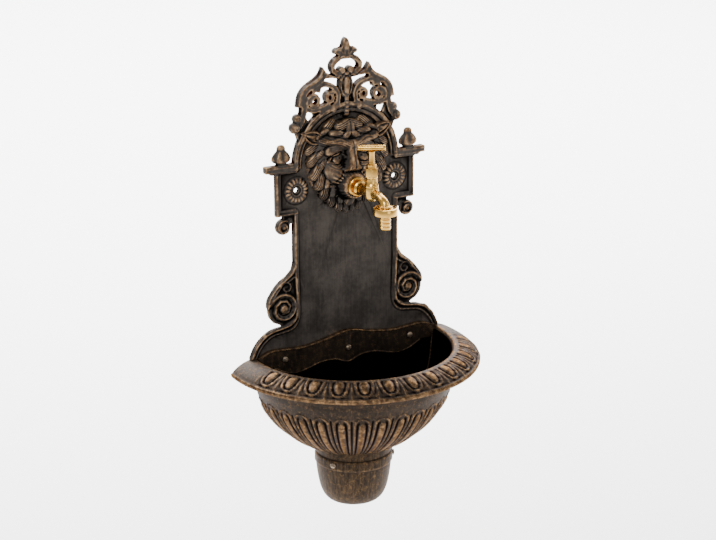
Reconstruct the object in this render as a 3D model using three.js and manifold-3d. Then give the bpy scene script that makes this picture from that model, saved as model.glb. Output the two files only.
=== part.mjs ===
// Wall fountain: a cast back plate with a lion mask, a pierced crest and volutes, a half-round basin
// screwed to its foot, a half-round cup that covers the drain, and a brass tap in the lion's mouth.
// Millimetres. +X is right as the front is seen, the front faces -Y, +Z is up. Y = 0 is the wall.
// The origin is on the flat back of the plate, on its centre line, SCREW_LINE below the wall screws.
import * as THREE from "three";
import { mergeVertices } from "three/addons/utils/BufferGeometryUtils.js";
import Module from "manifold-3d";

const wasm = await Module();
wasm.setup();

// Driving dimensions. A depth is a distance in front of the wall.
const GAP = 0.3; // clearance between pieces that touch
const FINE_GRAIN = 0.05; // roughness left out of every piece
const GRAIN = 1.9; // relief smaller than this is left to the rough surface of the back plate
const RIM_GRAIN = 1.2; // and of the basin, whose eggs and tongues are crisper
const HALF_TURN = Math.PI;
const FULL_TURN = 2 * Math.PI;

const FIELD = 6; // depth of the plain panel's face
const MOULDING = 9; // depth of the mouldings that frame it
const RELIEF = 11; // depth of volutes, caps and scrolls
const CHAMFER = 1.5; // worn front edge of the castings

const NECK = { half: 96, top: 92, band: 8, bottom: -100 };
const ARCH = { centre: 168, outer: 96, band: 16, depth: 13 };
const BOX = { half: 127, top: 160, bottom: 91, band: 7 };
const CAP = { half: 146, top: 175, height: 11, depth: 13, step: 10, stepHeight: 4 };
const FINIAL = { x: 116, neck: 8, bulge: 15, ball: 7, height: 32, flatness: 0.6 };
const SCREW_LINE = 130; // height of the two wall screws, in the rosettes' centres
const ROSETTE = { x: 90, radius: 21, dish: 10, petals: 16, height: 5, hole: 4 };
const CURL = { x: 114, z: 73, radius: 14 };
const VOLUTE = { x: 116, z: -62, radius: 29, turns: 1.75, rib: 8, boss: 6 };
const LOBE = { x: 109, z: -27, halfWidth: 17, halfHeight: 12 };
const FLARE = [[92, 14], [97, -3], [106, -11], [117, -17], [126, -24], [135, -36], [142, -48], [144, -62], [92, -62]];
const FOOT = { half: 178, bottom: -141, top: -92, band: 9, tongue: 150, tongueBottom: -175 };

const CREST = { depth: 12, tip: 366, rib: 8 };
// Outlines in X and Z of the crest's big leaf, and of its webs over the arch and beside the tail.
const LEAF = [
  [14, 303], [25, 308], [34, 313], [42, 323], [45, 314], [52, 306], [62, 300], [72, 295], [80, 288],
  [85, 278], [88, 262], [79, 264], [75, 275], [69, 285], [60, 290], [46, 297], [38, 303], [26, 303],
];
const CREST_WEB = [[8, 250], [8, 268], [26, 264], [46, 259], [60, 253], [56, 243]];
const TAIL_WEB = [[76, 256], [70, 246], [66, 236], [76, 222], [86, 210], [91, 222], [90, 232], [82, 244]];
const BOSS = { z: 290, halfWidth: 10, halfHeight: 18, depth: 15 };
const BEAD = { count: 3, radius: 4.5, low: 243, pitch: 7 };

const MASK = { centre: 163, half: 72, top: 72, chin: 76, dome: 19, wall: 5, sectors: 34, rings: 9 };
// Locks of the mane on one side: X, Z, fall in degrees below straight out, half length, half width.
const LOCKS = [
  [10, 228, 8, 15, 8], [33, 227, 30, 15, 8], [47, 217, 12, 13, 6],
  [62, 195, 18, 15, 7.5], [62, 178, 28, 15, 7.5], [58, 159, 46, 16, 8], [52, 142, 60, 15, 8],
  [43, 125, 62, 15, 8], [31, 111, 68, 14, 7.5], [18, 101, 78, 14, 7], [6, 97, 88, 13, 6],
];
const BROW = [[4, 26, 198], [20, 28, 203], [38, 25, 206], [53, 19, 208]]; // X, depth and Z along it
const EYE = { x: 24, z: 178, halfWidth: 13, halfHeight: 7, lidZ: 190 };
const EAR = { x: 61, z: 213, rise: 24, halfLength: 20, halfWidth: 9.5, depth: 12 };
const MOUTH = { z: 132, radius: 19, depth: 40 };

const BASIN = { axis: 22, rim: -139, lip: 167, bead: 211, beadZ: -157, wall: 6, base: -324 };
const BASIN_BACK = 12; // depth of the basin's flat back wall at its front
const BOWL = [[26, -322], [63, -306], [98, -287], [129, -260], [148, -234], [159, -211], [163, -188]];
const EGGS = 15; // eggs on the rim, and tongues under it, in each half turn
const EGG_LIFT = [2.6, -0.6, -2.2, -0.6]; // over one egg and the dart beside it
const TONGUE_LIFT = [2.4, 0.4, -3, 0.4]; // over one tongue and the groove beside it
const DRAIN = 14; // radius of the drain hole, over the middle of the cup
const UPSTAND = { middle: -116, dip: -130, dipX: 85, end: -138, half: 165 };
// Two lugs under the bowl, cut from a ring that fits in the cup, take the cup's screws.
const LUG = { radius: 58, wall: 6, width: 18, bottom: -336, sides: 22 };

const CUP = { axis: 27, radius: 63.5, play: 1, wall: 4, top: -296, bandLow: -336, bandHigh: -319, bottom: -408 };
const CUP_SCREW = { angle: 61, z: -327 };
const SCREW = { head: 5, headHeight: 3, shank: 2.5, slot: 1.2 };
const BASIN_SCREW = { x: 117.5, z: -146, length: 11 };

const TAP = { axis: 87, shank: 10, start: 24, collar: 16.5, collarWidth: 8, bore: 5 };
const CHAMBER = { radius: 11.5, bottom: 119, top: 157 };
const SPOUT = { radius: 7.5, thread: 11, outlet: 129 };
const BONNET = { flats: 18, top: 174, ring: 8.2, ringTop: 179 };
const SPINDLE = { radius: 4.7, bottom: 162 };
const T_BAR = { z: 205, length: 44, radius: 4.75, angle: 30 };
const UNION = { radius: 19, height: 12, middle: 113, lip: 2.5 };
const HOSE_TAIL = { radius: 8.5, wall: 2, bottom: 84, ribs: 3 };

// Finishes
const PATINA = { color: 0x3b2c22, roughness: 0.5, metalness: 0.8 };
const BRASS = { color: 0xd9a441, roughness: 0.2, metalness: 1 };
const STEEL = { color: 0x6f675e, roughness: 0.5, metalness: 0.9 };

// Solids from three.js geometries, joined and cut
function solidOf(geometry) {
  const bare = geometry.clone();
  bare.deleteAttribute("normal");
  bare.deleteAttribute("uv");
  const merged = mergeVertices(bare, 1e-4);
  const triVerts = new Uint32Array(merged.index.array);
  const vertProperties = merged.attributes.position.array;
  const made = new wasm.Manifold(new wasm.Mesh({ numProp: 3, vertProperties, triVerts }));
  if (made.volume() > 0) return made;
  triVerts.reverse(); // a mirrored or downward profile faces inwards
  return new wasm.Manifold(new wasm.Mesh({ numProp: 3, vertProperties, triVerts }));
}

const join = (solids) => solids.reduce((whole, next) => whole.add(next));
const cut = (solid, tools) => tools.reduce((left, tool) => left.subtract(tool), solid);
const pair = (make) => [make(-1), make(1)];

// A casting has no pocket shut in between its forms.
function outerSkin(solid) {
  return solid.decompose().reduce((largest, next) => (next.volume() > largest.volume() ? next : largest));
}

function piece(name, solid, finish) {
  const made = outerSkin(solid.simplify(FINE_GRAIN)).getMesh();
  const geometry = new THREE.BufferGeometry();
  geometry.setAttribute("position", new THREE.BufferAttribute(made.vertProperties, 3));
  geometry.setIndex(new THREE.BufferAttribute(made.triVerts, 1));
  const mesh = new THREE.Mesh(geometry, new THREE.MeshStandardMaterial(finish));
  mesh.name = name;
  return mesh;
}

// A flat shape drawn in X and Z, standing from one depth to another, its edge chamfered in front.
function raised(shape, back, front, chamfer = 0, steps = 6) {
  const geometry = new THREE.ExtrudeGeometry(shape, {
    depth: front - back - chamfer,
    curveSegments: steps,
    bevelEnabled: chamfer > 0,
    bevelThickness: chamfer,
    bevelSize: chamfer,
    bevelOffset: -chamfer,
    bevelSegments: 1,
  });
  geometry.translate(0, 0, back);
  geometry.rotateX(HALF_TURN / 2);
  return solidOf(geometry);
}

function polygon(points) {
  return new THREE.Shape(points.map(([x, z]) => new THREE.Vector2(x, z)));
}

function rectangle(left, right, low, high) {
  return polygon([[left, low], [right, low], [right, high], [left, high]]);
}

function oval(x, z, halfWidth, halfHeight = halfWidth) {
  return new THREE.Shape().absellipse(x, z, halfWidth, halfHeight, 0, FULL_TURN);
}

// Sections of bars, in half depths and half widths: square-edged, or with ridges in front.
const SQUARE = [[-1, -1], [1, -1], [1, 1], [-1, 1]];
const ridged = (sides) => Array.from({ length: sides }, (_, k) => {
  const angle = (k / sides) * FULL_TURN;
  return [Math.cos(angle), Math.sin(angle)];
});

// A bar along a line of places
function swept(curve, width, depth, steps, section = ridged(4)) {
  const shape = polygon(section.map(([across, along]) => [across * depth / 2, along * width / 2]));
  return solidOf(new THREE.ExtrudeGeometry(shape, { steps, extrudePath: curve, bevelEnabled: false }));
}

function through(points, depth) {
  const places = points.map(([x, z]) => new THREE.Vector3(x, -depth, z));
  return new THREE.CatmullRomCurve3(places, false, "centripetal");
}

class Spiral extends THREE.Curve {
  constructor(side, x, z, depth, from, to, start, turns) {
    super();
    Object.assign(this, { side, x, z, depth, from, to, start, turns });
  }
  getPoint(t, target = new THREE.Vector3()) {
    const angle = this.start + t * this.turns * FULL_TURN;
    const radius = this.from + (this.to - this.from) * t;
    const x = this.side * (this.x + radius * Math.cos(angle));
    return target.set(x, -this.depth, this.z + radius * Math.sin(angle));
  }
}

// A profile of [radius, height] places turned about a line along +Z through X, Y.
function turned(profile, x, y, segments = 16) {
  const geometry = new THREE.LatheGeometry(profile.map(([r, z]) => new THREE.Vector2(r, z)), segments);
  geometry.rotateX(HALF_TURN / 2);
  geometry.translate(x, y, 0);
  return solidOf(geometry);
}

const rod = (radius, low, high, x, y, segments = 16) =>
  turned([[0, low], [radius, low], [radius, high], [0, high]], x, y, segments);

// A profile of [radius, depth] places turned about a line along Y at X, Z.
function turnedForward(profile, x, z, segments = 16) {
  const geometry = new THREE.LatheGeometry(profile.map(([r, d]) => new THREE.Vector2(r, -d)), segments);
  geometry.translate(x, 0, z);
  return solidOf(geometry);
}

const pin = (radius, back, front, x, z, segments = 16) =>
  turnedForward([[0, back], [radius, back], [radius, front], [0, front]], x, z, segments);

function block(x0, x1, y0, y1, z0, z1) {
  const geometry = new THREE.BoxGeometry(x1 - x0, y1 - y0, z1 - z0);
  geometry.translate((x0 + x1) / 2, (y0 + y1) / 2, (z0 + z1) / 2);
  return solidOf(geometry);
}

// A closed surface over a grid of angles and steps. The first and last steps are single places.
function overGrid(sectors, steps, placeAt) {
  const positions = [...placeAt(0, 0)];
  for (let step = 1; step < steps; step += 1)
    for (let sector = 0; sector < sectors; sector += 1)
      positions.push(...placeAt(step / steps, sector / sectors));
  positions.push(...placeAt(1, 0));
  const last = positions.length / 3 - 1;
  const index = [];
  const ring = (step, sector) => 1 + (step - 1) * sectors + (sector % sectors);
  for (let sector = 0; sector < sectors; sector += 1) {
    index.push(0, ring(1, sector + 1), ring(1, sector));
    index.push(last, ring(steps - 1, sector), ring(steps - 1, sector + 1));
    for (let step = 1; step < steps - 1; step += 1) {
      const [a, b] = [ring(step, sector), ring(step, sector + 1)];
      const [c, d] = [ring(step + 1, sector), ring(step + 1, sector + 1)];
      index.push(a, b, c, b, d, c);
    }
  }
  const geometry = new THREE.BufferGeometry();
  geometry.setAttribute("position", new THREE.Float32BufferAttribute(positions, 3));
  geometry.setIndex(index);
  return solidOf(geometry);
}

// Carving on the plate: its depth over X and Z within an outline given as a radius for each angle.
function carved(x, z, radiusAt, depthAt, sectors, rings, back) {
  return overGrid(sectors, rings + 2, (step, turn) => {
    const share = Math.min(1, (step * (rings + 2)) / rings);
    const angle = turn * FULL_TURN;
    const behind = step * (rings + 2) > rings + 0.5;
    const radius = step === 1 ? 0 : radiusAt(angle) * share;
    const [dx, dz] = [radius * Math.cos(angle), radius * Math.sin(angle)];
    return [x + dx, -(behind ? back : depthAt(dx, dz, share, angle)), z + dz];
  });
}

const hill = (distance, width) => Math.exp(-((distance / width) ** 2));

// Back plate: the panel with its arch, boxes, caps and foot
function panel() {
  const arch = new THREE.Shape();
  arch.moveTo(-ARCH.outer, BOX.bottom);
  arch.lineTo(-ARCH.outer, ARCH.centre);
  arch.absarc(0, ARCH.centre, ARCH.outer, HALF_TURN, 0, true);
  arch.lineTo(ARCH.outer, BOX.bottom);
  const foot = new THREE.Shape();
  foot.moveTo(-FOOT.tongue, FOOT.tongueBottom);
  foot.lineTo(-FOOT.tongue, FOOT.bottom);
  foot.lineTo(-FOOT.half, FOOT.bottom);
  foot.quadraticCurveTo(-FOOT.half + 18, FOOT.top - 8, -VOLUTE.x, FOOT.top);
  foot.lineTo(VOLUTE.x, FOOT.top);
  foot.quadraticCurveTo(FOOT.half - 18, FOOT.top - 8, FOOT.half, FOOT.bottom);
  foot.lineTo(FOOT.tongue, FOOT.bottom);
  foot.lineTo(FOOT.tongue, FOOT.tongueBottom);
  return [
    raised(arch, 0, FIELD, 0, 8),
    raised(rectangle(-BOX.half, BOX.half, BOX.bottom, BOX.top + 1), 0, FIELD),
    raised(rectangle(-NECK.half, NECK.half, NECK.bottom, NECK.top + 1), 0, FIELD),
    raised(foot, 0, FIELD, 0, 4),
  ];
}

// The arch's moulding is a ring of three flats, its two inner edges stepped back.
function archMoulding() {
  const band = (inner, outer, depth, chamfer) => {
    const shape = new THREE.Shape();
    shape.moveTo(outer, CAP.top - CAP.height);
    shape.lineTo(outer, ARCH.centre);
    shape.absarc(0, ARCH.centre, outer, 0, HALF_TURN, false);
    shape.lineTo(-outer, CAP.top - CAP.height);
    shape.lineTo(-inner, CAP.top - CAP.height);
    shape.lineTo(-inner, ARCH.centre);
    shape.absarc(0, ARCH.centre, inner, HALF_TURN, 0, true);
    shape.lineTo(inner, CAP.top - CAP.height);
    return raised(shape, 0, depth, chamfer, 8);
  };
  const middle = ARCH.outer - ARCH.band / 2;
  return [
    band(ARCH.outer - ARCH.band, middle + 1, MOULDING, 0),
    band(middle, ARCH.outer, ARCH.depth, CHAMFER),
  ];
}

// Side boxes: an outer upright and a lower rail, under the shoulder cap with its finial.
function boxMouldings(side) {
  const { half, top, bottom, band } = BOX;
  const span = (a, b) => [Math.min(side * a, side * b), Math.max(side * a, side * b)];
  const capLow = CAP.top - CAP.height;
  const finialFoot = CAP.top - 1;
  const rise = FINIAL.height / 32;
  const finial = turned([
    [0, finialFoot],
    [FINIAL.neck, finialFoot],
    [FINIAL.neck, finialFoot + 4 * rise],
    [FINIAL.bulge, finialFoot + 11 * rise],
    [FINIAL.ball, finialFoot + 23 * rise],
    [FINIAL.ball + 0.5, finialFoot + 28 * rise],
    [0, finialFoot + 33 * rise],
  ], 0, 0, 10).scale([1, FINIAL.flatness, 1]).translate([side * FINIAL.x, -FIELD, 0]);
  return join([
    raised(rectangle(...span(half - band, half), bottom, top + 1), 0, MOULDING, CHAMFER),
    raised(rectangle(...span(NECK.half - band, half), bottom, bottom + band), 0, MOULDING, CHAMFER),
    raised(rectangle(...span(ARCH.outer - 2, CAP.half), capLow, CAP.top), 0, CAP.depth, CHAMFER),
    raised(rectangle(...span(NECK.half - band, CAP.half - CAP.step), capLow - CAP.stepHeight, capLow + 1),
      0, RELIEF, CHAMFER),
    finial,
  ]);
}

// Rosettes: a ring of petals round a dished centre, where the wall screws go.
function rosette(side) {
  const { radius, dish, petals, height } = ROSETTE;
  const depthAt = (dx, dz, share, angle) => {
    const distance = share * radius;
    const petal = 0.5 + 0.5 * Math.cos(petals * angle);
    const crown = hill(distance - (radius + dish) / 2 - 1, (radius - dish) / 2);
    return FIELD - 0.5 + height * crown * (0.55 + 0.45 * petal);
  };
  return carved(side * ROSETTE.x, SCREW_LINE, () => radius, depthAt, 2 * petals, 3, FIELD - 2);
}

// Neck moulding, lower curl, volute and the foot's S-shaped moulding, on each side.
function sideScrolls(side) {
  const at = (x, z) => [side * x, z];
  const edge = NECK.half - NECK.band / 2;
  const low = VOLUTE.z - VOLUTE.radius;
  const neckLine = through([
    at(edge, NECK.top),
    at(edge, 0),
    at(edge - 2, VOLUTE.z),
    at(edge + 2, low + 6),
    at(VOLUTE.x, low - 3),
    at(145, FOOT.top - 7),
    at(163, FOOT.top - 24),
    at(FOOT.half - FOOT.band / 2, FOOT.bottom + 4),
  ], FIELD);
  const flare = through([
    at(edge, 12),
    at(102, -6),
    at(LOBE.x + 8, LOBE.z + 10),
    at(LOBE.x + 16, LOBE.z - 2),
    at(VOLUTE.x + 17, VOLUTE.z + 25),
    at(VOLUTE.x + 26, VOLUTE.z + 8),
  ], FIELD);
  const depth = 2 * (MOULDING - FIELD);
  const rib = VOLUTE.rib;
  const spiral = new Spiral(side, VOLUTE.x, VOLUTE.z, FIELD, VOLUTE.radius - rib / 2, rib, 0.3, VOLUTE.turns);
  const curl = new Spiral(side, CURL.x, CURL.z, FIELD, CURL.radius - 3.5, 3, 3.6, 1.1);
  const web = rectangle(Math.min(side * edge, side * CURL.x), Math.max(side * edge, side * CURL.x),
    CURL.z + 4, BOX.bottom + 1);
  return join([
    swept(neckLine, NECK.band, depth + 2, 13),
    swept(flare, 8, depth + 4, 8),
    raised(oval(side * VOLUTE.x, VOLUTE.z, VOLUTE.radius - 1), 0, FIELD, 0, 7),
    raised(polygon(FLARE.map(([x, z]) => at(x, z))), 0, FIELD),
    swept(spiral, rib, 2 * (RELIEF - FIELD), 17),
    turnedForward([[0, 0], [rib, 0], [rib, FIELD], [VOLUTE.boss, RELIEF], [0, RELIEF + 3]],
      side * VOLUTE.x, VOLUTE.z, 8),
    raised(oval(side * LOBE.x, LOBE.z, LOBE.halfWidth, LOBE.halfHeight), 0, FIELD, 0, 5),
    raised(oval(side * LOBE.x, LOBE.z, 9, 4), 0, MOULDING, CHAMFER, 4),
    raised(oval(side * CURL.x, CURL.z, CURL.radius - 1), 0, FIELD, 0, 6),
    raised(web, 0, FIELD),
    swept(curl, 7, depth + 4, 10),
  ]);
}

// Crest: pierced scrollwork over the arch, about an oval boss, under a three-lobed finial.
function crestSide(side) {
  const at = ([x, z]) => [side * x, z];
  const { depth, rib } = CREST;
  const middle = depth / 2;
  const slab = (curve, width, steps) => swept(curve, width, depth, steps, SQUARE);
  const band = (points, width, steps) => slab(through(points.map(at), middle), width, steps);
  const ball = (x, z, radius) => turnedForward(
    [[0, 0], [radius - 1, 0], [radius, middle], [radius - 2.5, depth], [0, depth + 2]], side * x, z, 7);
  return join([
    raised(polygon(LEAF.map(at)), 0, depth, CHAMFER),
    raised(polygon(CREST_WEB.map(at)), 0, FIELD),
    raised(polygon(TAIL_WEB.map(at)), 0, FIELD + 1),
    band([[4, 338], [15, 333], [24, 326], [25, 317], [18, 311], [8, 309]], rib, 6),
    raised(oval(side * 8, 314, 7.5, 6.5), 0, depth - 1, CHAMFER, 4),
    band([[24, 257], [17, 264], [15, 276], [21, 287], [32, 294], [46, 295], [60, 291]], rib, 7),
    slab(new Spiral(side, 29, 273, middle, 9.5, 4, 2.4, -1.1), rib - 2, 8),
    slab(new Spiral(side, 59, 270, middle, 12.5, 4.5, -0.5, 1.35), rib - 2, 10),
    band([[30, 263], [45, 258], [59, 255], [72, 260], [77, 270]], rib, 5),
    band([[76, 268], [77, 254], [80, 243], [87, 232]], rib + 2, 3),
    band([[62, 288], [53, 288], [47, 286]], rib - 1, 2),
    ball(87, 245, 8.5),
    ball(92, 231, 9.5),
    raised(oval(side * 24, 256, 7), 0, depth + 1, CHAMFER, 4),
  ]);
}

function crestMiddle() {
  const { depth, tip } = CREST;
  const lily = polygon([
    [0, tip], [4, tip - 3], [8, tip - 15], [15, tip - 17], [21, tip - 22], [17, tip - 26], [10, tip - 27],
    [8, tip - 32], [9, tip - 36], [-9, tip - 36], [-8, tip - 32], [-10, tip - 27], [-17, tip - 26],
    [-21, tip - 22], [-15, tip - 17], [-8, tip - 15], [-4, tip - 3],
  ]);
  const beads = Array.from({ length: BEAD.count }, (_, k) =>
    turnedForward([[0, FIELD - 1], [BEAD.radius, FIELD - 1], [BEAD.radius, MOULDING + 2], [0, RELIEF]],
      0, BEAD.low + k * BEAD.pitch, 8));
  return [
    raised(lily, 0, depth, CHAMFER),
    raised(rectangle(-9, 9, ARCH.centre + ARCH.outer - 6, BOSS.z + BOSS.halfHeight), 0, FIELD),
    raised(rectangle(-4, 4, ARCH.centre + ARCH.outer - ARCH.band - 6, BOSS.z), 0, MOULDING + 3, CHAMFER),
    raised(oval(0, BOSS.z, BOSS.halfWidth, BOSS.halfHeight), 0, MOULDING, CHAMFER, 6),
    raised(oval(0, BOSS.z, BOSS.halfWidth - 3, BOSS.halfHeight - 3), 0, BOSS.depth, CHAMFER + 1, 6),
    ...beads,
  ];
}

// Lion mask: the face, ears and mane as one carved relief. Places are measured from its middle.
function maskRadius(angle) {
  const reach = Math.sin(angle) > 0 ? MASK.top : MASK.chin;
  const wide = Math.abs(Math.cos(angle)) / MASK.half;
  const tall = Math.abs(Math.sin(angle)) / reach;
  const round = 1 / Math.hypot(wide, tall);
  return round * (1 + 0.04 * Math.cos(8 * angle) - 0.1 * hill(angle - 1.25 * HALF_TURN, 0.35)
    - 0.1 * hill(angle - 1.75 * HALF_TURN, 0.35));
}

function domeDepth(share) {
  return FIELD - 1 + MASK.dome * Math.sqrt(Math.max(0, 1 - Math.min(1, share) ** 2.4));
}

function depthOfDome(x, z) {
  const [dx, dz] = [x, z - MASK.centre];
  return domeDepth(Math.hypot(dx, dz) / maskRadius(Math.atan2(dz, dx)));
}

function maskDepth(dx, dz, share) {
  const x = Math.abs(dx);
  const muzzle = 10 * hill(x - 13, 15) * hill(dz + 17, 13);
  const bridge = Math.exp(-((dx / 11) ** 4));
  const nose = bridge * (3 + Math.max(0, 40 - dz) * 0.34) * (dz > 42 || dz < -5 ? 0.2 : 1);
  const socket = -7 * hill(x - 22, 15) * hill(dz - 17, 10);
  const cheek = 8 * hill(x - 34, 13) * hill(dz + 7, 13);
  const forehead = 4 * hill(x - 13, 11) * hill(dz - 52, 10);
  return domeDepth(share) + muzzle + nose + socket + cheek + forehead;
}

// A lock is a long bud lying on the dome, thickest past its middle.
function lock(side, [x, z, fall, long, wide]) {
  const bud = alongX([[0, -long], [wide * 0.8, -long / 2], [wide, long / 4], [0, long]], 5);
  const seat = Math.max(FIELD, depthOfDome(x, z) - wide * 0.4);
  return bud.rotate([0, side > 0 ? fall : 180 - fall, 0]).translate([side * x, -seat, z]);
}

function boss(side, [x, z], depth, halfWidth, halfHeight, lift) {
  const round = turned([[0, -1], [0.8, -0.6], [1, 0], [0.8, 0.6], [0, 1]], 0, 0, 8);
  return round.scale([halfWidth, lift, halfHeight]).translate([side * x, -depth, z]);
}

function brow(side) {
  const places = BROW.map(([x, depth, z]) => new THREE.Vector3(side * x, -depth, z));
  return swept(new THREE.CatmullRomCurve3(places), 8, 12, 5);
}

// An ear is a pointed bud with its front scooped out.
function ear(side) {
  const { x, z, rise, halfLength, halfWidth, depth } = EAR;
  const bud = (long, wide) => alongX([[0, -long], [wide, -long / 2], [wide * 0.9, 0], [0, long]], 6)
    .rotate([0, side > 0 ? -rise : 180 + rise, 0]);
  return bud(halfLength, halfWidth).translate([side * x, -depth, z])
    .subtract(bud(halfLength * 0.7, halfWidth * 0.65).translate([side * x, -depth - halfWidth, z]));
}

function maskSolid() {
  const { x, z, halfWidth, halfHeight, lidZ } = EYE;
  const floor = depthOfDome(x, z);
  return join([
    carved(0, MASK.centre, maskRadius, maskDepth, MASK.sectors, MASK.rings, FIELD - 4),
    ...LOCKS.flatMap((place) => pair((side) => lock(side, place))),
    ...pair(brow),
    ...pair((side) => boss(side, [x, z], floor - 6, halfWidth, halfHeight, 9)),
    ...pair((side) => boss(side, [x + 3, lidZ], floor - 3, halfWidth + 4, halfHeight + 1, 7)),
    ...pair(ear),
  ]);
}

// The casting is thin behind the face: the hollow follows the dome and opens to the wall.
function maskHollow() {
  const { half, top, chin, dome, wall } = MASK;
  const round = 5;
  const profile = Array.from({ length: round + 1 }, (_, k) => {
    const lift = (k / round) * (HALF_TURN / 2);
    return [Math.cos(lift), Math.sin(lift)];
  });
  const shape = [[0, -0.1], [1, -0.1], ...profile.slice(0, -1), [0, 1]];
  const height = FIELD + dome - wall;
  const geometry = new THREE.LatheGeometry(shape.map(([r, d]) => new THREE.Vector2(r, -d)), 16);
  geometry.scale(half - 3 * wall, height, (top + chin) / 2 - 3 * wall);
  geometry.translate(0, 0, MASK.centre + (top - chin) / 2);
  return solidOf(geometry);
}

function mouth() {
  const { z, radius, depth } = MOUTH;
  return turnedForward([[0, FIELD], [radius, FIELD], [radius + 1, depth - 4], [radius - 1, depth], [0, depth]],
    0, z, 20);
}

function backPlate() {
  const front = MOUTH.depth + 1;
  const whole = join([
    ...panel(),
    ...archMoulding(),
    ...pair(boxMouldings),
    ...pair(rosette),
    ...pair(sideScrolls),
    ...pair(crestSide),
    ...crestMiddle(),
    maskSolid(),
    mouth(),
  ]).simplify(GRAIN);
  return cut(whole, [
    block(-FOOT.half - 50, FOOT.half + 50, 0, 60, FOOT.tongueBottom - 50, CREST.tip + 50),
    maskHollow(),
    pin(TAP.shank + GAP, 0, front, 0, MOUTH.z, 20),
    ...pair((side) => pin(ROSETTE.hole, -1, RELIEF + 5, side * ROSETTE.x, SCREW_LINE, 12)),
    ...basinScrewPlaces().map(([x, z]) => pin(SCREW.shank + GAP, -1, RELIEF, x, z, 10)),
  ]);
}

// Basin: half of a turned bowl with an egg-and-dart rim and tongues below, closed by a flat back
function basinProfile() {
  const { rim, lip, bead, beadZ } = BASIN;
  return [
    [bead - 13, beadZ - 10, 0],
    [bead - 2, beadZ - 7, 0],
    [bead - 1, beadZ + 1, 0],
    [bead - 8, beadZ + 5, 0.7],
    [(bead + lip) / 2, (beadZ + rim) / 2 + 4, 1],
    [lip + 10, rim, 0.7],
    [lip + 2, rim + 1, 0],
  ];
}

function basinOutside() {
  const { axis, lip, rim, base } = BASIN;
  const bowl = BOWL.map(([r, z], k) => [r, z, k > 0 && k < BOWL.length - 1 ? -1 : 0]);
  const profile = [[0, base, 0], ...bowl, [BOWL.at(-1)[0] + 5, -180, 0], ...basinProfile(), [lip, rim - 3, 0],
    [0, rim - 3, 0]];
  const sectors = EGGS * 2 * EGG_LIFT.length;
  return overGrid(sectors, profile.length - 1, (step, turn) => {
    const [radius, z, kind] = profile[Math.round(step * (profile.length - 1))];
    const place = Math.round(turn * sectors) % EGG_LIFT.length;
    const egg = kind > 0 ? kind * EGG_LIFT[place] : 0;
    const tongue = kind < 0 ? TONGUE_LIFT[place] : 0;
    const reach = radius + tongue + egg * 0.4;
    const angle = turn * FULL_TURN;
    return [reach * Math.cos(angle), -axis + reach * Math.sin(angle), z + egg];
  });
}

function basinInside() {
  const { axis, rim, lip, wall, base } = BASIN;
  const floor = BOWL.map(([r, z]) => [r - wall * (r > 130 ? 1 : 0.6), z + wall * (r > 130 ? 0.4 : 1)]);
  return turned([[0, base + wall], ...floor, [lip - 3, -160], [lip, rim - 2], [lip, rim + 20], [0, rim + 20]],
    0, -axis, 30);
}

function upstandShape() {
  const { middle, dip, dipX, end, half } = UPSTAND;
  const shape = new THREE.Shape();
  shape.moveTo(-half - 8, BASIN.rim - 20);
  shape.lineTo(-half, end);
  shape.splineThru([[-half + 22, dip + 2], [-dipX, dip], [-dipX / 2, (dip + middle) / 2 - 1], [0, middle],
    [dipX / 2, (dip + middle) / 2 - 1], [dipX, dip], [half - 22, dip + 2], [half, end]]
    .map(([x, z]) => new THREE.Vector2(x, z)));
  shape.lineTo(half + 8, BASIN.rim - 20);
  return shape;
}

function basin() {
  const { wall, base, bead } = BASIN;
  const far = bead + 50;
  const plateFront = FIELD + GAP;
  const inside = basinInside().intersect(block(-far, far, -far, -BASIN_BACK, base - 50, far));
  const ring = turned([
    [LUG.radius - LUG.wall, LUG.bottom],
    [LUG.radius, LUG.bottom],
    [LUG.radius, BOWL[1][1] + wall / 2],
    [LUG.radius - LUG.wall, BOWL[1][1] + wall / 2],
    [LUG.radius - LUG.wall, LUG.bottom],
  ], 0, -CUP.axis, LUG.sides);
  const lugs = pair((side) => ring.intersect(
    aimedAtCup(side, block(0, 2 * LUG.radius, -LUG.width / 2, LUG.width / 2, base, -base))));
  const behind = basinInside().intersect(block(-far, far, -plateFront, far, base - 50, 0));
  const shell = cut(basinOutside(), [inside, behind]).add(join(lugs).subtract(inside));
  return cut(shell.simplify(RIM_GRAIN).add(raised(upstandShape(), plateFront, BASIN_BACK, 0, 5)), [
    block(-far, far, 0, far, base - 50, 0),
    block(-FOOT.tongue - GAP, FOOT.tongue + GAP, -plateFront, far, FOOT.tongueBottom - GAP, 0),
    block(-FOOT.half - GAP, FOOT.half + GAP, -MOULDING - 1 - GAP, far, FOOT.bottom - GAP - 1, 0)
      .subtract(block(-UPSTAND.half, UPSTAND.half, -far, -plateFront, base, 0)),
    rod(DRAIN, base - 10, base + 30, 0, -CUP.axis, 20),
    ...basinScrewPlaces().map(([x, z]) => pin(SCREW.shank + GAP, 0, RELIEF + 5, x, z, 10)),
    ...pair((side) => cupPin(side, SCREW.shank + GAP, LUG.radius - 12, CUP.radius)),
  ]);
}

function basinScrewPlaces() {
  return [-1, 0, 1].map((side) => [side * BASIN_SCREW.x, BASIN_SCREW.z - (side === 0 ? 1 : 0)]);
}

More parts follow.
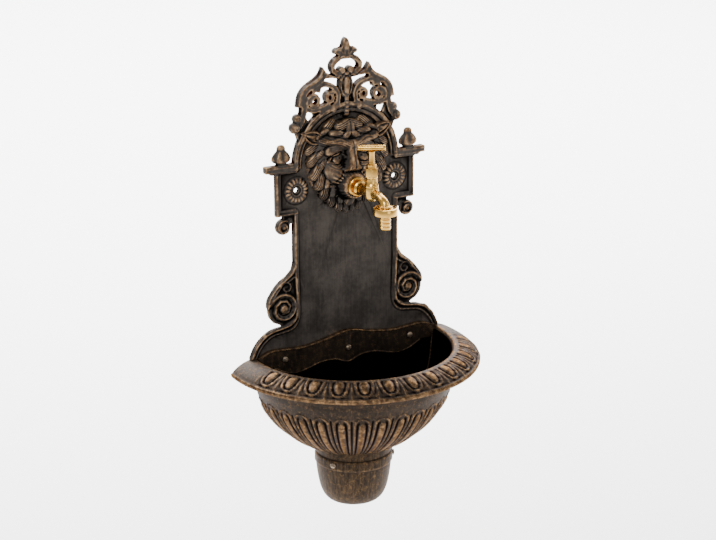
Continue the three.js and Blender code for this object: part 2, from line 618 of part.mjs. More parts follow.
// Drain cover: half of a turned cup with a raised band, open above and towards the wall
function drainCup() {
  const { axis, radius, play, wall, top, bandLow, bandHigh, bottom } = CUP;
  const foot = radius - 17;
  const outside = turned([
    [0, bottom],
    [foot * 0.6, bottom],
    [foot * 0.92, bottom + 1.5],
    [foot + 3, bottom + 7],
    [radius - 9, bottom + 24],
    [radius - 4.5, bottom + 42],
    [radius - 2, bottom + 64],
    [radius - 1, bandLow],
    [radius + 1, bandLow + 2],
    [radius + 1, bandHigh - 2],
    [radius - 1, bandHigh],
    [radius - 1, top],
    [0, top],
  ], 0, -axis, LUG.sides);
  const inside = turned([
    [0, bottom + wall],
    [foot * 0.6, bottom + wall],
    [foot - 1, bottom + wall + 6],
    [radius - 9 - wall, bottom + 26],
    [radius - 3 - wall, bottom + 62],
    [LUG.radius + play, LUG.bottom - 6],
    [LUG.radius + play, top + 10],
    [0, top + 10],
  ], 0, -axis, LUG.sides);
  const under = BOWL.map(([r, z]) => [r + 2.8, z - 1]);
  const bowl = turned([[0, BASIN.base - 1], ...under, [radius * 3, 0], [0, 0]], 0, -BASIN.axis, 24);
  return cut(outside, [
    inside,
    bowl,
    block(-radius * 2, radius * 2, 0, radius * 2, bottom - 10, 0),
    ...pair((side) => cupPin(side, SCREW.shank + GAP, LUG.radius - 2, CUP.radius + 10)),
  ]);
}

function alongX(profile, segments) {
  const geometry = new THREE.LatheGeometry(profile.map(([r, l]) => new THREE.Vector2(r, l)), segments);
  geometry.rotateZ(-HALF_TURN / 2);
  return solidOf(geometry);
}

// Turns what lies along +X from the cup's axis towards one of its two screws.
function aimedAtCup(side, solid) {
  const turn = side > 0 ? CUP_SCREW.angle - 90 : -90 - CUP_SCREW.angle;
  return solid.rotate([0, 0, turn]).translate([0, -CUP.axis, CUP_SCREW.z]);
}

function cupPin(side, radius, from, to) {
  return aimedAtCup(side, alongX([[0, from], [radius, from], [radius, to], [0, to]], 10));
}

// Screws: slotted round heads
function screwProfile(tip, seat) {
  const { head, headHeight, shank } = SCREW;
  return [[0, tip], [shank, tip], [shank, seat + GAP], [head, seat + GAP], [head, seat + headHeight * 0.5],
    [head * 0.6, seat + headHeight], [0, seat + headHeight]];
}

function basinScrew([x, z]) {
  const seat = BASIN_BACK;
  const slot = block(x - SCREW.head - 1, x + SCREW.head + 1, -seat - SCREW.headHeight - 1,
    -seat - SCREW.headHeight + 1.2, z - SCREW.slot / 2, z + SCREW.slot / 2);
  return turnedForward(screwProfile(seat - BASIN_SCREW.length, seat), x, z, 8).subtract(slot);
}

function cupScrew(side) {
  const seat = CUP.radius + 1;
  const slot = block(seat + SCREW.headHeight - 1.2, seat + SCREW.headHeight + 1, -SCREW.head - 1, SCREW.head + 1,
    -SCREW.slot / 2, SCREW.slot / 2);
  return aimedAtCup(side, alongX(screwProfile(LUG.radius - LUG.wall - 3, seat), 8).subtract(slot));
}

// Tap: collar, body with its spout, bonnet, spindle with a T-bar, union nut and hose tail
function tapCollar() {
  const back = MOUTH.depth + GAP;
  const { shank, collar, collarWidth } = TAP;
  return turnedForward([
    [shank + GAP, back],
    [collar, back],
    [collar, back + collarWidth * 0.5],
    [collar - 3, back + collarWidth],
    [shank + GAP, back + collarWidth],
    [shank + GAP, back],
  ], 0, MOUTH.z, 14);
}

function tapBody() {
  const { axis, shank, start, collarWidth, bore } = TAP;
  const shoulder = MOUTH.depth + collarWidth + 2 * GAP;
  const inlet = turnedForward([
    [0, start],
    [shank, start],
    [shank, shoulder],
    [shank + 2, shoulder],
    [shank + 2, shoulder + 4],
    [shank - 1.5, shoulder + 8],
    [shank, axis - CHAMBER.radius],
    [shank - 1, axis],
    [0, axis],
  ], 0, MOUTH.z, 12);
  const { radius, bottom, top } = CHAMBER;
  const chamber = turned([
    [0, bottom],
    [radius * 0.55, bottom + 1],
    [radius * 0.9, bottom + 8],
    [radius, bottom + 18],
    [radius, bottom + 25],
    [radius * 0.8, top - 6],
    [radius * 0.8, top],
    [0, top],
  ], 0, -axis, 12);
  const nutTop = UNION.middle + UNION.height / 2;
  const bend = new THREE.CatmullRomCurve3([
    [axis - 2, nutTop + 14],
    [axis + 12, nutTop + 13],
    [SPOUT.outlet - 14, nutTop + 11],
    [SPOUT.outlet - 3, nutTop + 5],
    [SPOUT.outlet, UNION.middle - 1],
  ].map(([depth, z]) => new THREE.Vector3(0, -depth, z)), false, "centripetal");
  const spout = swept(bend, 2 * SPOUT.radius, 2 * SPOUT.radius, 8, ridged(8));
  const water = swept(bend, 2 * bore, 2 * bore, 8, ridged(6));
  const way = join([pin(bore, start - 5, axis, 0, MOUTH.z, 8), water]);
  const stem = rod(SPINDLE.radius + GAP, SPINDLE.bottom - 20, top + 5, 0, -axis, 10);
  const thread = rod(SPOUT.thread, UNION.middle, UNION.middle + UNION.height / 2 + 3, 0, -SPOUT.outlet, 14);
  return cut(join([inlet, chamber, spout, thread]), [
    way,
    stem,
    rod(bore, UNION.middle - 5, UNION.middle + UNION.height / 2, 0, -SPOUT.outlet, 10),
    rod(2 * SPOUT.thread, UNION.middle - 2 * SPOUT.thread, UNION.middle + GAP, 0, -SPOUT.outlet, 8),
  ]);
}

const BONNET_FLOOR = CHAMBER.top + GAP;

function tapBonnet() {
  const across = BONNET.flats / 2 / Math.cos(HALF_TURN / 6);
  const nut = rod(across, BONNET_FLOOR, BONNET.top, 0, -TAP.axis, 6);
  const ring = turned([[0, BONNET.top - 1], [BONNET.ring, BONNET.top - 1], [BONNET.ring, BONNET.ringTop - 1],
    [BONNET.ring - 1, BONNET.ringTop], [0, BONNET.ringTop]], 0, -TAP.axis, 12);
  return nut.add(ring).subtract(
    rod(SPINDLE.radius + GAP, BONNET_FLOOR - 1, BONNET.ringTop + 1, 0, -TAP.axis, 16));
}

function turnedWithHandle(solid) {
  return solid.rotate([0, 0, -T_BAR.angle]).translate([0, -TAP.axis, T_BAR.z]);
}

function tBar() {
  const { length, radius } = T_BAR;
  const half = length / 2;
  return turnedWithHandle(alongX([[0, -half], [radius - 1, -half], [radius, 1 - half], [radius, half - 1],
    [radius - 1, half], [0, half]], 16));
}

function tapSpindle() {
  const top = T_BAR.z - T_BAR.radius - GAP;
  return rod(SPINDLE.radius, SPINDLE.bottom, top, 0, -TAP.axis, 16);
}

function unionNut() {
  const low = UNION.middle - UNION.height / 2;
  const high = UNION.middle + UNION.height / 2;
  const { radius, lip } = UNION;
  const tail = HOSE_TAIL.radius + GAP;
  const thread = SPOUT.thread + GAP;
  return turned([
    [tail, low],
    [radius - 1, low],
    [radius, low + 1],
    [radius, high - 1],
    [radius - 1, high],
    [thread, high],
    [thread, low + lip],
    [tail, low + lip],
    [tail, low],
  ], 0, -SPOUT.outlet, 14);
}

function hoseTail() {
  const { radius, wall, bottom, ribs } = HOSE_TAIL;
  const seat = UNION.middle - UNION.height / 2 + UNION.lip + GAP;
  const pitch = (seat - UNION.lip - 4 - bottom) / ribs;
  const outside = Array.from({ length: ribs }, (_, k) =>
    [[radius - 1, bottom + k * pitch], [radius, bottom + (k + 0.7) * pitch]]).flat();
  return turned([
    [radius - wall, bottom],
    ...outside,
    [radius - 1, bottom + ribs * pitch],
    [radius, bottom + ribs * pitch + 1],
    [radius, seat],
    [SPOUT.thread, seat],
    [SPOUT.thread, UNION.middle],
    [radius - wall, UNION.middle],
    [radius - wall, bottom],
  ], 0, -SPOUT.outlet, 10);
}

const fountain = new THREE.Group();
fountain.name = "wall_fountain";
fountain.add(piece("back_plate", backPlate(), PATINA));
fountain.add(piece("basin", basin(), PATINA));
fountain.add(piece("drain_cup", drainCup(), PATINA));
["left", "middle", "right"].forEach((place, k) =>
  fountain.add(piece(`basin_screw_${place}`, basinScrew(basinScrewPlaces()[k]), STEEL)));
["left", "right"].forEach((place, k) => fountain.add(piece(`cup_screw_${place}`, cupScrew(2 * k - 1), STEEL)));

const tap = new THREE.Group();
tap.add(piece("tap_collar", tapCollar(), BRASS));
tap.add(piece("tap_body", tapBody(), BRASS));
tap.add(piece("tap_bonnet", tapBonnet(), BRASS));
tap.add(piece("union_nut", unionNut(), BRASS));
tap.add(piece("hose_tail", hoseTail(), BRASS));

const handle = new THREE.Group();
handle.add(piece("tap_spindle", tapSpindle(), BRASS));
handle.add(piece("tap_t_bar", tBar(), BRASS));
tap.add(handle);
fountain.add(tap);

export default fountain;
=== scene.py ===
"""A cast wall fountain: back plate with a lion mask, half-round basin, drain cup and a brass tap."""
import math

import bmesh
import bpy
import numpy as np
from mathutils import Matrix, Vector
from mathutils.kdtree import KDTree


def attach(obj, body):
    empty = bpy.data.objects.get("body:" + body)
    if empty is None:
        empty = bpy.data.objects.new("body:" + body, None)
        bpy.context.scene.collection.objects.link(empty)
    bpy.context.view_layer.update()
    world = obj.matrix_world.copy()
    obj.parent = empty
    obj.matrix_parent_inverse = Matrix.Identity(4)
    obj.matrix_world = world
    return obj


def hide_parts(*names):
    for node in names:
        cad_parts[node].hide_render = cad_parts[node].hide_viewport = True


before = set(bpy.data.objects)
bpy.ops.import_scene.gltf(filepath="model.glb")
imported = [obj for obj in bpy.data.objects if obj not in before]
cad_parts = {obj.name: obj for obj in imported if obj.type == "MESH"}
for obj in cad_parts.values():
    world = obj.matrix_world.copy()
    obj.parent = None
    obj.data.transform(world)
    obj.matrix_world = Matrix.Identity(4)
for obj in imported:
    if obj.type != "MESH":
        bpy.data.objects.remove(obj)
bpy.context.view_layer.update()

# Camera.
# It stands to the left of the fountain and a little above it, far off, with a long lens.
looked_at = Vector((0.0326, 0.012, -0.0262))
towards_camera = Vector((-0.4795, -0.8238, 0.3024)).normalized()
camera = bpy.data.objects.new("camera", bpy.data.cameras.new("camera"))
bpy.context.scene.collection.objects.link(camera)
camera.data.lens = 100.56
camera.data.sensor_width = 36
camera_reach = 3.272
camera.location = looked_at + camera_reach * towards_camera
roll = Matrix.Rotation(math.radians(-0.2), 3, "Z")
camera.rotation_euler = (towards_camera.to_track_quat("Z", "Y").to_matrix() @ roll).to_euler()
bpy.context.scene.camera = camera

# Studio.
# A pale floor far below the fountain, a large soft lamp at the upper left, weaker ones at the right and
# in front, a wide one that lights the floor behind, and an even white room light.
floor_half, floor_level = 30, -1.1
floor_form = bmesh.new()
bmesh.ops.create_grid(floor_form, x_segments=1, y_segments=1, size=floor_half)
bmesh.ops.translate(floor_form, vec=(0, 0, floor_level), verts=floor_form.verts)
floor_mesh = bpy.data.meshes.new("floor")
floor_form.to_mesh(floor_mesh)
floor_form.free()
floor = bpy.data.objects.new("floor", floor_mesh)
bpy.context.scene.collection.objects.link(floor)
floor_paint = bpy.data.materials.new("floor_paint")
floor_paint.use_nodes = True
floor_skin = floor_paint.node_tree.nodes["Principled BSDF"]
floor_skin.inputs["Base Color"].default_value = (0.93, 0.93, 0.93, 1)
floor_skin.inputs["Roughness"].default_value = 0.9
floor_mesh.materials.append(floor_paint)
for lamp_name, place, aim, size, power in (
    ("key_lamp", (-1.6, -1.9, 2.2), (0, -0.05, 0), 1.2, 62),
    ("side_lamp", (2.2, -1.4, 0.9), (0, -0.05, 0), 1.2, 12),
    ("front_lamp", (0.2, -2.8, 0.2), (0, -0.05, 0), 1.0, 9),
    ("floor_lamp", (3.2, 6.5, 2.6), (3.2, 6.5, 0), 11, 4200),
):
    lamp = bpy.data.objects.new(lamp_name, bpy.data.lights.new(lamp_name, "AREA"))
    bpy.context.scene.collection.objects.link(lamp)
    lamp.data.size = size
    lamp.data.energy = power
    lamp.location = place
    lamp.rotation_euler = (Vector(place) - Vector(aim)).to_track_quat("Z", "Y").to_euler()
room = bpy.data.worlds.new("room")
bpy.context.scene.world = room
room.use_nodes = True
room.node_tree.nodes["Background"].inputs["Color"].default_value = (1, 1, 1, 1)
room.node_tree.nodes["Background"].inputs["Strength"].default_value = 0.62


# Back plate.
# One iron casting in a sand mould: panel, arch, side boxes, crest, volutes and foot. Its forms melt
# into each other, and the sand leaves a fine grain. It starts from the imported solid, with round
# bars, leaves and bosses laid over it, all fused into one skin.
METRE = 1000
FORWARD, UPWARD = (0, 1, 0), (0, 0, 1)
ALL_ROUND = 2 * math.pi


def copied(node):
    """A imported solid's own form, in millimetres."""
    form = bmesh.new()
    form.from_mesh(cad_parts[node].data)
    bmesh.ops.scale(form, vec=(METRE, METRE, METRE), verts=form.verts)
    bmesh.ops.remove_doubles(form, verts=form.verts, dist=0.01)
    return form


def thing(name, form):
    """An object in the scene, from a form in millimetres."""
    bmesh.ops.scale(form, vec=(1 / METRE, 1 / METRE, 1 / METRE), verts=form.verts)
    mesh = bpy.data.meshes.new(name)
    form.to_mesh(mesh)
    form.free()
    made = bpy.data.objects.new(name, mesh)
    bpy.context.scene.collection.objects.link(made)
    return made


def settled(made):
    """Its modifiers are applied."""
    graph = bpy.context.evaluated_depsgraph_get()
    mesh = bpy.data.meshes.new_from_object(made.evaluated_get(graph))
    made.modifiers.clear()
    made.data = mesh
    return made


def fused(made, grain):
    """One skin over all that overlaps."""
    skin = made.modifiers.new("skin", "REMESH")
    skin.mode = "VOXEL"
    skin.voxel_size = grain / METRE
    return settled(made)


def places_of(mesh):
    flat = np.empty(len(mesh.vertices) * 3)
    mesh.vertices.foreach_get("co", flat)
    return flat.reshape(-1, 3) * METRE


def move(mesh, places):
    mesh.vertices.foreach_set("co", (places / METRE).ravel())
    mesh.update()


LONGEST_EDGE = 4.5


def averaged(mesh, places, rounds):
    """Each place moved to the middle of its neighbours, some rounds over. Long edges don't count."""
    flat = np.empty(len(mesh.edges) * 2, int)
    mesh.edges.foreach_get("vertices", flat)
    first, second = flat.reshape(-1, 2).T
    short = np.linalg.norm(places[first] - places[second], axis=1) < LONGEST_EDGE
    first, second = first[short], second[short]
    size = len(places)
    count = np.bincount(first, minlength=size) + np.bincount(second, minlength=size)
    for _ in range(rounds):
        total = [
            np.bincount(first, places[second, k], size) + np.bincount(second, places[first, k], size)
            for k in range(3)
        ]
        middle = np.stack(total, 1) / np.maximum(count, 1)[:, None]
        places = np.where(count[:, None] > 1, middle, places)
    return places


def wear_and_painted_light(made, reach, height, told=None):
    """Notes in the mesh how far each place stands proud, where hands and weather have rubbed it. A told
    function may change the notes, to paint shade or highlight at chosen places.
    """
    mesh = made.data
    places = places_of(mesh)
    facing = np.empty(len(places) * 3)
    mesh.vertices.foreach_get("normal", facing)
    facing = facing.reshape(-1, 3)
    proud = ((places - averaged(mesh, places, reach)) * facing).sum(1) / height
    if told:
        proud = told(places, facing, proud)
    note = mesh.attributes.new("wear_and_painted_light", "FLOAT", "POINT")
    note.data.foreach_set("value", np.clip(proud, -1, 1))


def thinned(made, share):
    """Fewer faces where the surface is flat. The notes on rubbing and painted light are carried over."""
    dense = made.data
    notes = np.empty(len(dense.vertices))
    dense.attributes["wear_and_painted_light"].data.foreach_get("value", notes)
    tree = KDTree(len(dense.vertices))
    for k, vertex in enumerate(dense.vertices):
        tree.insert(vertex.co, k)
    tree.balance()
    fewer = made.modifiers.new("fewer", "DECIMATE")
    fewer.ratio = share
    settled(made)
    mesh = made.data
    if "wear_and_painted_light" in mesh.attributes:
        mesh.attributes.remove(mesh.attributes["wear_and_painted_light"])
    found = [notes[tree.find(vertex.co)[1]] for vertex in mesh.vertices]
    mesh.attributes.new("wear_and_painted_light", "FLOAT", "POINT").data.foreach_set("value", found)


def smooth(made, sharp):
    """Smooth shading, with the edges sharper than this many degrees left sharp."""
    made.data.shade_smooth()
    made.data.set_sharp_from_angle(angle=math.radians(sharp))


def laid_on(form, small):
    """Adds a small mesh to a larger one."""
    mesh = bpy.data.meshes.new("laid_on")
    small.to_mesh(mesh)
    small.free()
    form.from_mesh(mesh)
    bpy.data.meshes.remove(mesh)


def along_rings(form, matrices, sides):
    """A closed skin over circles of radius 1, each set in place by its matrix."""
    small = bmesh.new()
    rings = []
    for k, matrix in enumerate(matrices):
        ends = k in (0, len(matrices) - 1)
        ring = bmesh.ops.create_circle(small, cap_ends=ends, radius=1, segments=sides, matrix=matrix)
        rings.append(ring["verts"])
    for low, high in zip(rings, rings[1:]):
        near = [e for v in low + high for e in v.link_edges if e.other_vert(v) in low + high]
        bmesh.ops.bridge_loops(small, edges=list(set(near)))
    laid_on(form, small)


def thickened(form, wall):
    """Gives a sheet a wall that reaches this far back."""
    grown = bmesh.ops.extrude_face_region(form, geom=form.faces[:])["geom"]
    corners = [part for part in grown if isinstance(part, bmesh.types.BMVert)]
    bmesh.ops.translate(form, vec=(0, wall, 0), verts=corners)


def bar(form, line, widths, depths, sides=10):
    """A round bar along places given in X, depth and Z, with a width and a depth at each."""
    line = [Vector((x, -depth, z)) for x, depth, z in line]
    matrices = []
    for k, place in enumerate(line):
        along = (line[min(k + 1, len(line) - 1)] - line[max(k - 1, 0)]).normalized()
        across = along.cross(Vector(FORWARD)).normalized()
        axes = (across * widths[k] / 2, Vector((0, -1, 0)) * depths[k] / 2, along)
        matrices.append(Matrix.Translation(place) @ Matrix(axes).transposed().to_4x4())
    along_rings(form, matrices, sides)


def curve(points, steps):
    """Evenly spread places on a smooth line through the points."""
    points = np.array(points, float)
    padded = np.vstack([2 * points[0] - points[1], points, 2 * points[-1] - points[-2]])
    found = []
    for k in range(len(points) - 1):
        a, b, c, d = padded[k : k + 4]
        for t in np.linspace(0, 1, 12, endpoint=k == len(points) - 2):
            square, cube = 2 * a - 5 * b + 4 * c - d, 3 * b - a - 3 * c + d
            found.append(0.5 * (2 * b + (c - a) * t + square * t**2 + cube * t**3))
    found = np.array(found)
    run = np.concatenate([[0], np.cumsum(np.linalg.norm(np.diff(found, axis=0), axis=1))])
    even = np.linspace(0, run[-1], steps)
    return np.stack([np.interp(even, run, found[:, k]) for k in range(found.shape[1])], 1)


def scroll(x, z, start_radius, end_radius, start, turns, steps):
    """Places on a spiral round X and Z, from a start angle."""
    angles = start + np.linspace(0, turns * ALL_ROUND, steps)
    radii = np.linspace(start_radius, end_radius, steps)
    return [(x + r * math.cos(a), z + r * math.sin(a)) for r, a in zip(radii, angles)]


def strip(form, side, points, width, depth, steps=None, end_width=None):
    """A bar in the plane of the plate, on one side or the other, tapering to its end width."""
    places = curve(points, steps) if steps else np.array(points, float)
    widths = np.linspace(width, end_width if end_width else width, len(places))
    swell = depth * (0.55 + 0.45 * widths / widths.max())
    bar(form, [(side * x, 0, z) for x, z in places], widths, 2 * swell)


SAME_PLACE = 0.001


def spun(profile, centre, axis, steps):
    """A profile of radius and height, turned about an axis through the centre."""
    small = bmesh.new()
    places = [(r, 0, h) if axis == UPWARD else (r, -h, 0) for r, h in profile]
    chain = [small.verts.new(Vector(centre) + Vector(place)) for place in places]
    line = chain + [small.edges.new(ends) for ends in zip(chain, chain[1:])]
    bmesh.ops.spin(small, geom=line, cent=centre, axis=axis, angle=ALL_ROUND, steps=steps, use_merge=True)
    bmesh.ops.remove_doubles(small, verts=small.verts, dist=SAME_PLACE)
    bmesh.ops.recalc_face_normals(small, faces=small.faces)
    return small


def ball(form, place, reach, turn=None):
    """A rounded boss at a place given in X, depth and Z."""
    small = bmesh.new()
    bmesh.ops.create_uvsphere(small, u_segments=20, v_segments=12, radius=1)
    bmesh.ops.scale(small, vec=reach, verts=small.verts)
    bmesh.ops.translate(small, vec=(place[0], -place[1], place[2]), verts=small.verts)
    if turn:
        centre, angle = turn
        bmesh.ops.rotate(small, cent=centre, matrix=Matrix.Rotation(angle, 3, "Y"), verts=small.verts)
    laid_on(form, small)


plate = copied("back_plate")
MASK_Z = 163
MOUTH_Z = 132
MOUTH_HALF = 22
MASK_HALF_X, MASK_HALF_Z = 84, 78
PLATE_FACE, SET_BACK = 5.5, 6
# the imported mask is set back, to lie under the finer one
for vertex in plate.verts:
    from_middle = math.hypot(vertex.co.x / MASK_HALF_X, (vertex.co.z - MASK_Z) / MASK_HALF_Z)
    in_mask = from_middle < 1 and abs(vertex.co.x) < MASK_HALF_X - 3
    by_mouth = math.hypot(vertex.co.x, vertex.co.z - MOUTH_Z) <= MOUTH_HALF
    if in_mask and not by_mouth and vertex.co.y < -PLATE_FACE - 1:
        vertex.co.y = max(vertex.co.y, min(-PLATE_FACE, vertex.co.y + SET_BACK))

ARCH_Z = 168
arch_turn = [math.radians(angle) for angle in np.linspace(0, 180, 49)]
for radius, width, depth in ((91.5, 7.5, 13.4), (83.5, 4.5, 10.5)):
    bow = [(radius * math.cos(a), ARCH_Z + radius * math.sin(a)) for a in arch_turn]
    strip(plate, 1, [(radius, ARCH_Z - 2), *bow, (-radius, ARCH_Z - 2)], width, depth)

OUTER_NECK = [(94, 92), (94, 0), (92, -50), (94, -80), (103, -91), (118, -95), (138, -98), (155, -108),
    (167, -121), (175, -138)]
INNER_NECK = [(88.5, 96), (88.5, 0), (87, -50), (88, -82), (99, -98), (118, -102), (137, -105), (151, -114),
    (161, -126), (168, -139)]
FLARE = [(93, 14), (98, -3), (106, -11), (117, -17), (126, -24), (135, -35), (142, -46), (143, -58)]
FINIAL_X = 116
FINIAL = [(0, 173), (9.5, 174), (8.6, 176.4), (10.4, 178), (14.4, 180.6), (15.6, 184.4), (14.6, 188.6),
    (11.8, 193), (8.8, 196.4), (7.2, 198.6), (7.4, 201.4), (6.2, 204.8), (3.2, 206.8), (0, 207)]
FINIAL_LOBES = 6
ROSETTE_X, ROSETTE_Z = 90, 130
PETALS = 17
CREST_TOP = [(43, 319), (47, 311), (54, 304.6), (64, 299), (73, 294.3), (80.5, 286.5), (84.6, 278),
    (87.2, 263.5)]

for side in (-1, 1):
    # shoulder cap, side box, and the double moulding down the neck and along the foot
    for points, width, depth, steps in (
        ([(88, 171), (145, 171)], 7, 13.2, 12),
        ([(90, 164.5), (137, 164.5)], 5, 11.5, 12),
        ([(124.5, 162), (124.5, 94)], 4.5, 10, 14),
        ([(119, 160), (119, 100)], 2.4, 8.4, 14),
        ([(90, 93.5), (126, 93.5)], 4.5, 10, 12),
        ([(92, 99.5), (120, 99.5)], 2.4, 8.4, 12),
        (OUTER_NECK, 4.5, 10.8, 60),
        (INNER_NECK, 2.6, 8.6, 60),
    ):
        strip(plate, side, points, width, depth, steps)
    # lower curl of the box, flare, eye and volute
    strip(plate, side, scroll(114, 73, 11.5, 3, 2.2, -1.35, 34), 5.5, 11.5, end_width=4)
    ball(plate, (side * 114, 6, 73), (4.2, 6.5, 4.2))
    strip(plate, side, FLARE, 5.5, 11, 26, 4)
    strip(plate, side, [(96, -12), (104, -17), (116, -21), (124, -28)], 3, 9, 14, 2)
    strip(plate, side, scroll(110, -28, 9.5, 5, 0.4, 0.95, 20), 2.6, 9)
    strip(plate, side, scroll(116, -62, 26, 5, 0.5, 1.85, 70), 6.5, 11.6, end_width=4)
    strip(plate, side, scroll(116, -62, 20.6, 4, 0.5, 1.55, 56), 1.8, 8.4)
    ball(plate, (side * 116, 6, -62), (5.2, 6.5, 5.2))
    # finial: a leafy bud on a neck, flattened against the plate
    bud = spun(FINIAL, (0, 0, 0), UPWARD, 48)
    for vertex in bud.verts:
        turn = math.atan2(vertex.co.y, vertex.co.x)
        if 178 < vertex.co.z < 197:
            lobe = 1 + 0.08 * math.cos(FINIAL_LOBES * turn + 0.6)
            vertex.co.x *= lobe
            vertex.co.y *= lobe
        vertex.co.x += side * FINIAL_X
        vertex.co.y = min(0, vertex.co.y * 0.75 - 5)
    laid_on(plate, bud)
    # rosette petals
    rosette = (side * ROSETTE_X, 0, ROSETTE_Z)
    for k in range(PETALS):
        petal = (side * ROSETTE_X, 6, ROSETTE_Z + 15.2)
        ball(plate, petal, (2.9, 4.6, 5.6), (rosette, ALL_ROUND * k / PETALS))
    strip(plate, side, scroll(ROSETTE_X, ROSETTE_Z, 8.5, 8.5, 0, 1, 30), 3.4, 9.2)

    # crest: crown ring, C-scroll, horn and leaf, two curls, the lower band and the tail
    for points, width, depth, steps, end in (
        ([(4, 338), (15, 333), (24, 326), (25, 317), (18, 311), (8, 309)], 8.4, 12.6, 24, 6),
        ([(24, 257), (17, 264), (15, 276), (21, 287), (32, 294), (46, 295.5), (62, 291)], 7.6, 12.6, 34, 5),
        ([(13.8, 262), (11.8, 276), (18.2, 289.5), (31, 297), (46, 298.6)], 1.9, 13.4, 30, 1.6),
        ([(20, 264), (18.2, 276), (23.6, 285), (33, 291), (46, 292), (60, 288)], 1.9, 13.2, 30, 1.6),
        ([(13, 303.5), (25, 305.5), (34, 309), (40, 316), (42.6, 322.4)], 6.4, 12.8, 20, 2.6),
        ([(44.5, 309), (54, 301.5), (65, 296), (74, 289), (80, 279.5), (84, 266)], 9.5, 13.6, 28, 6.5),
        (CREST_TOP, 2.6, 13, 36, 2.4),
        ([(40, 302), (48, 297.5), (60, 291.5), (68.5, 285.5), (74.5, 275.5), (79.5, 265)], 2.4, 12.9, 30, 2),
        ([(30, 263), (45, 258), (59, 255), (72, 260), (77, 270)], 7.6, 12.6, 26, 6.5),
        ([(31, 266), (45, 261), (59, 258), (70, 262.3), (74.2, 270)], 1.7, 13.2, 26, 1.5),
        ([(76, 268), (77, 254), (80, 243), (87, 232)], 8.6, 12.2, 16, 7),
        ([(72.6, 262), (73.4, 252), (76.6, 241)], 1.8, 12.8, 12, 1.6),
    ):
        strip(plate, side, points, width, depth, steps, end)
    for curl in ((29, 273, 9.5, 3.8, 2.4, -1.15), (59, 270, 12.5, 4.2, -0.5, 1.4)):
        x, z, radius, end, start, turns = curl
        strip(plate, side, scroll(x, z, radius, end, start, turns, 44), 5.6, 12.4, end_width=4.4)
        strip(plate, side, scroll(x, z, radius + 1.6, end + 0.8, start, turns, 44), 1.7, 13.4, end_width=1.4)
    ball(plate, (side * 8, 6, 314), (7.2, 6.6, 6.2))
    strip(plate, side, scroll(8, 314, 5.2, 1.6, 1.2, 1.2, 20), 1.9, 13.4)
    ball(plate, (side * 52, 6, 287), (6, 5.4, 2.9))
    ball(plate, (side * 24, 6.5, 256), (7, 7.2, 6.2))
    ball(plate, (side * 87, 5.5, 245), (8.2, 8, 8))
    ball(plate, (side * 92, 6, 231), (9.3, 9, 9))
    strip(plate, side, scroll(87, 245, 5, 1.5, 1.0, 1.1, 16), 2.2, 13.8)
    strip(plate, side, scroll(92, 231, 5.8, 1.5, 2.4, 1.2, 18), 2.4, 15.4)
    # side leaf of the lily
    strip(plate, side, [(5, 337.5), (8.5, 344), (14.5, 347.6), (19.6, 344.6), (17.4, 341)], 5.4, 12.8, 18, 4)
    strip(plate, side, [(3, 339), (3.6, 349), (2.4, 359)], 1.8, 13.6, 12, 1.2)

ball(plate, (0, 6, 352), (7.8, 7, 13.4))
strip(plate, 1, [(-10, 336.6), (0, 335.4), (10, 336.6)], 4.6, 12.9, 10)
OVAL_Z = 290
for half_width, half_height, width, depth in ((9.6, 17.6, 3, 12.2), (12.4, 20, 1.8, 9.8)):
    turn = np.linspace(0, ALL_ROUND, 49)
    strip(plate, 1, list(zip(half_width * np.cos(turn), OVAL_Z + half_height * np.sin(turn))), width, depth)
ball(plate, (0, 8, OVAL_Z), (6.8, 7.6, 13.6))
ball(plate, (0, 6, 309), (6, 7, 3.4))
for height, wide in ((269, 4.6), (262.5, 5), (256, 5.2), (249.5, 5), (243.5, 4.4)):
    ball(plate, (0, 7.5, height), (wide, 6, 3.5))

# Lion mask: cast with the plate. The face is a grid of places whose depth follows the brow, eyes,
# nose, cheeks and muzzle, with the locks of the mane lying round it, each of a few strands.
# A lock is given by X, Z, its fall in degrees below straight out, half its length and half its width.
LOCKS = (
    (10, 228, 8, 15, 8), (33, 227, 30, 15, 8), (45, 217, 20, 13, 6), (24, 216, -14, 13, 6),
    (3, 221, 80, 12, 5), (9, 212, 26, 11, 5),
    (62, 195, 18, 15, 7.5), (62, 178, 28, 15, 7.5), (58, 159, 46, 16, 8), (52, 142, 60, 15, 8),
    (43, 125, 62, 15, 8), (31, 111, 68, 14, 7.5), (18, 101, 78, 14, 7), (6, 97, 88, 13, 6),
    (52, 186, 24, 9, 4.5), (49, 169, 40, 10, 4.5), (41, 139, 62, 10, 5), (30, 124, 62, 11, 5.5),
    (17, 111, 72, 10, 5.5),
)
BROW_PLACES = ((0, 195, 31), (6, 199, 33), (20, 203.5, 34.5), (38, 206.5, 32), (54, 208.5, 24.5))
MASK_BASE, MASK_RISE = 5, 19
EAR_X, EAR_Z, EAR_HALF = 62, 213, 20
NOSE_FOOT, NOSE_TOP = 149, 206


def bump(distance, width):
    """1 at no distance, falling to nothing past the width."""
    return np.exp(-((distance / width) ** 2))


def domed(square):
    """The height of a round dome of 1, from the square of the distance to its middle."""
    return np.sqrt(np.clip(1 - square, 0, 1))


def ridge(x, z, line, width, taper=0.0):
    """1 on a line of places, falling to 0 at about its width. It thins towards its ends."""
    places = curve(line, 24)
    gap = np.sqrt((x[..., None] - places[:, 0]) ** 2 + (z[..., None] - places[:, 1]) ** 2)
    nearest = gap.argmin(-1) / (len(places) - 1)
    return bump(gap.min(-1), width) * (1 - taper * np.abs(2 * nearest - 1) ** 2)


def mask_edge(angle):
    """How far the face's dome reaches at an angle from straight sideways, up or down."""
    tall = np.where(np.sin(angle) > 0, 72, 76)
    plain = 1 / np.hypot(np.cos(angle) / 72, np.sin(angle) / tall)
    return plain * (1 - 0.1 * bump(angle + math.pi / 4, 0.35))


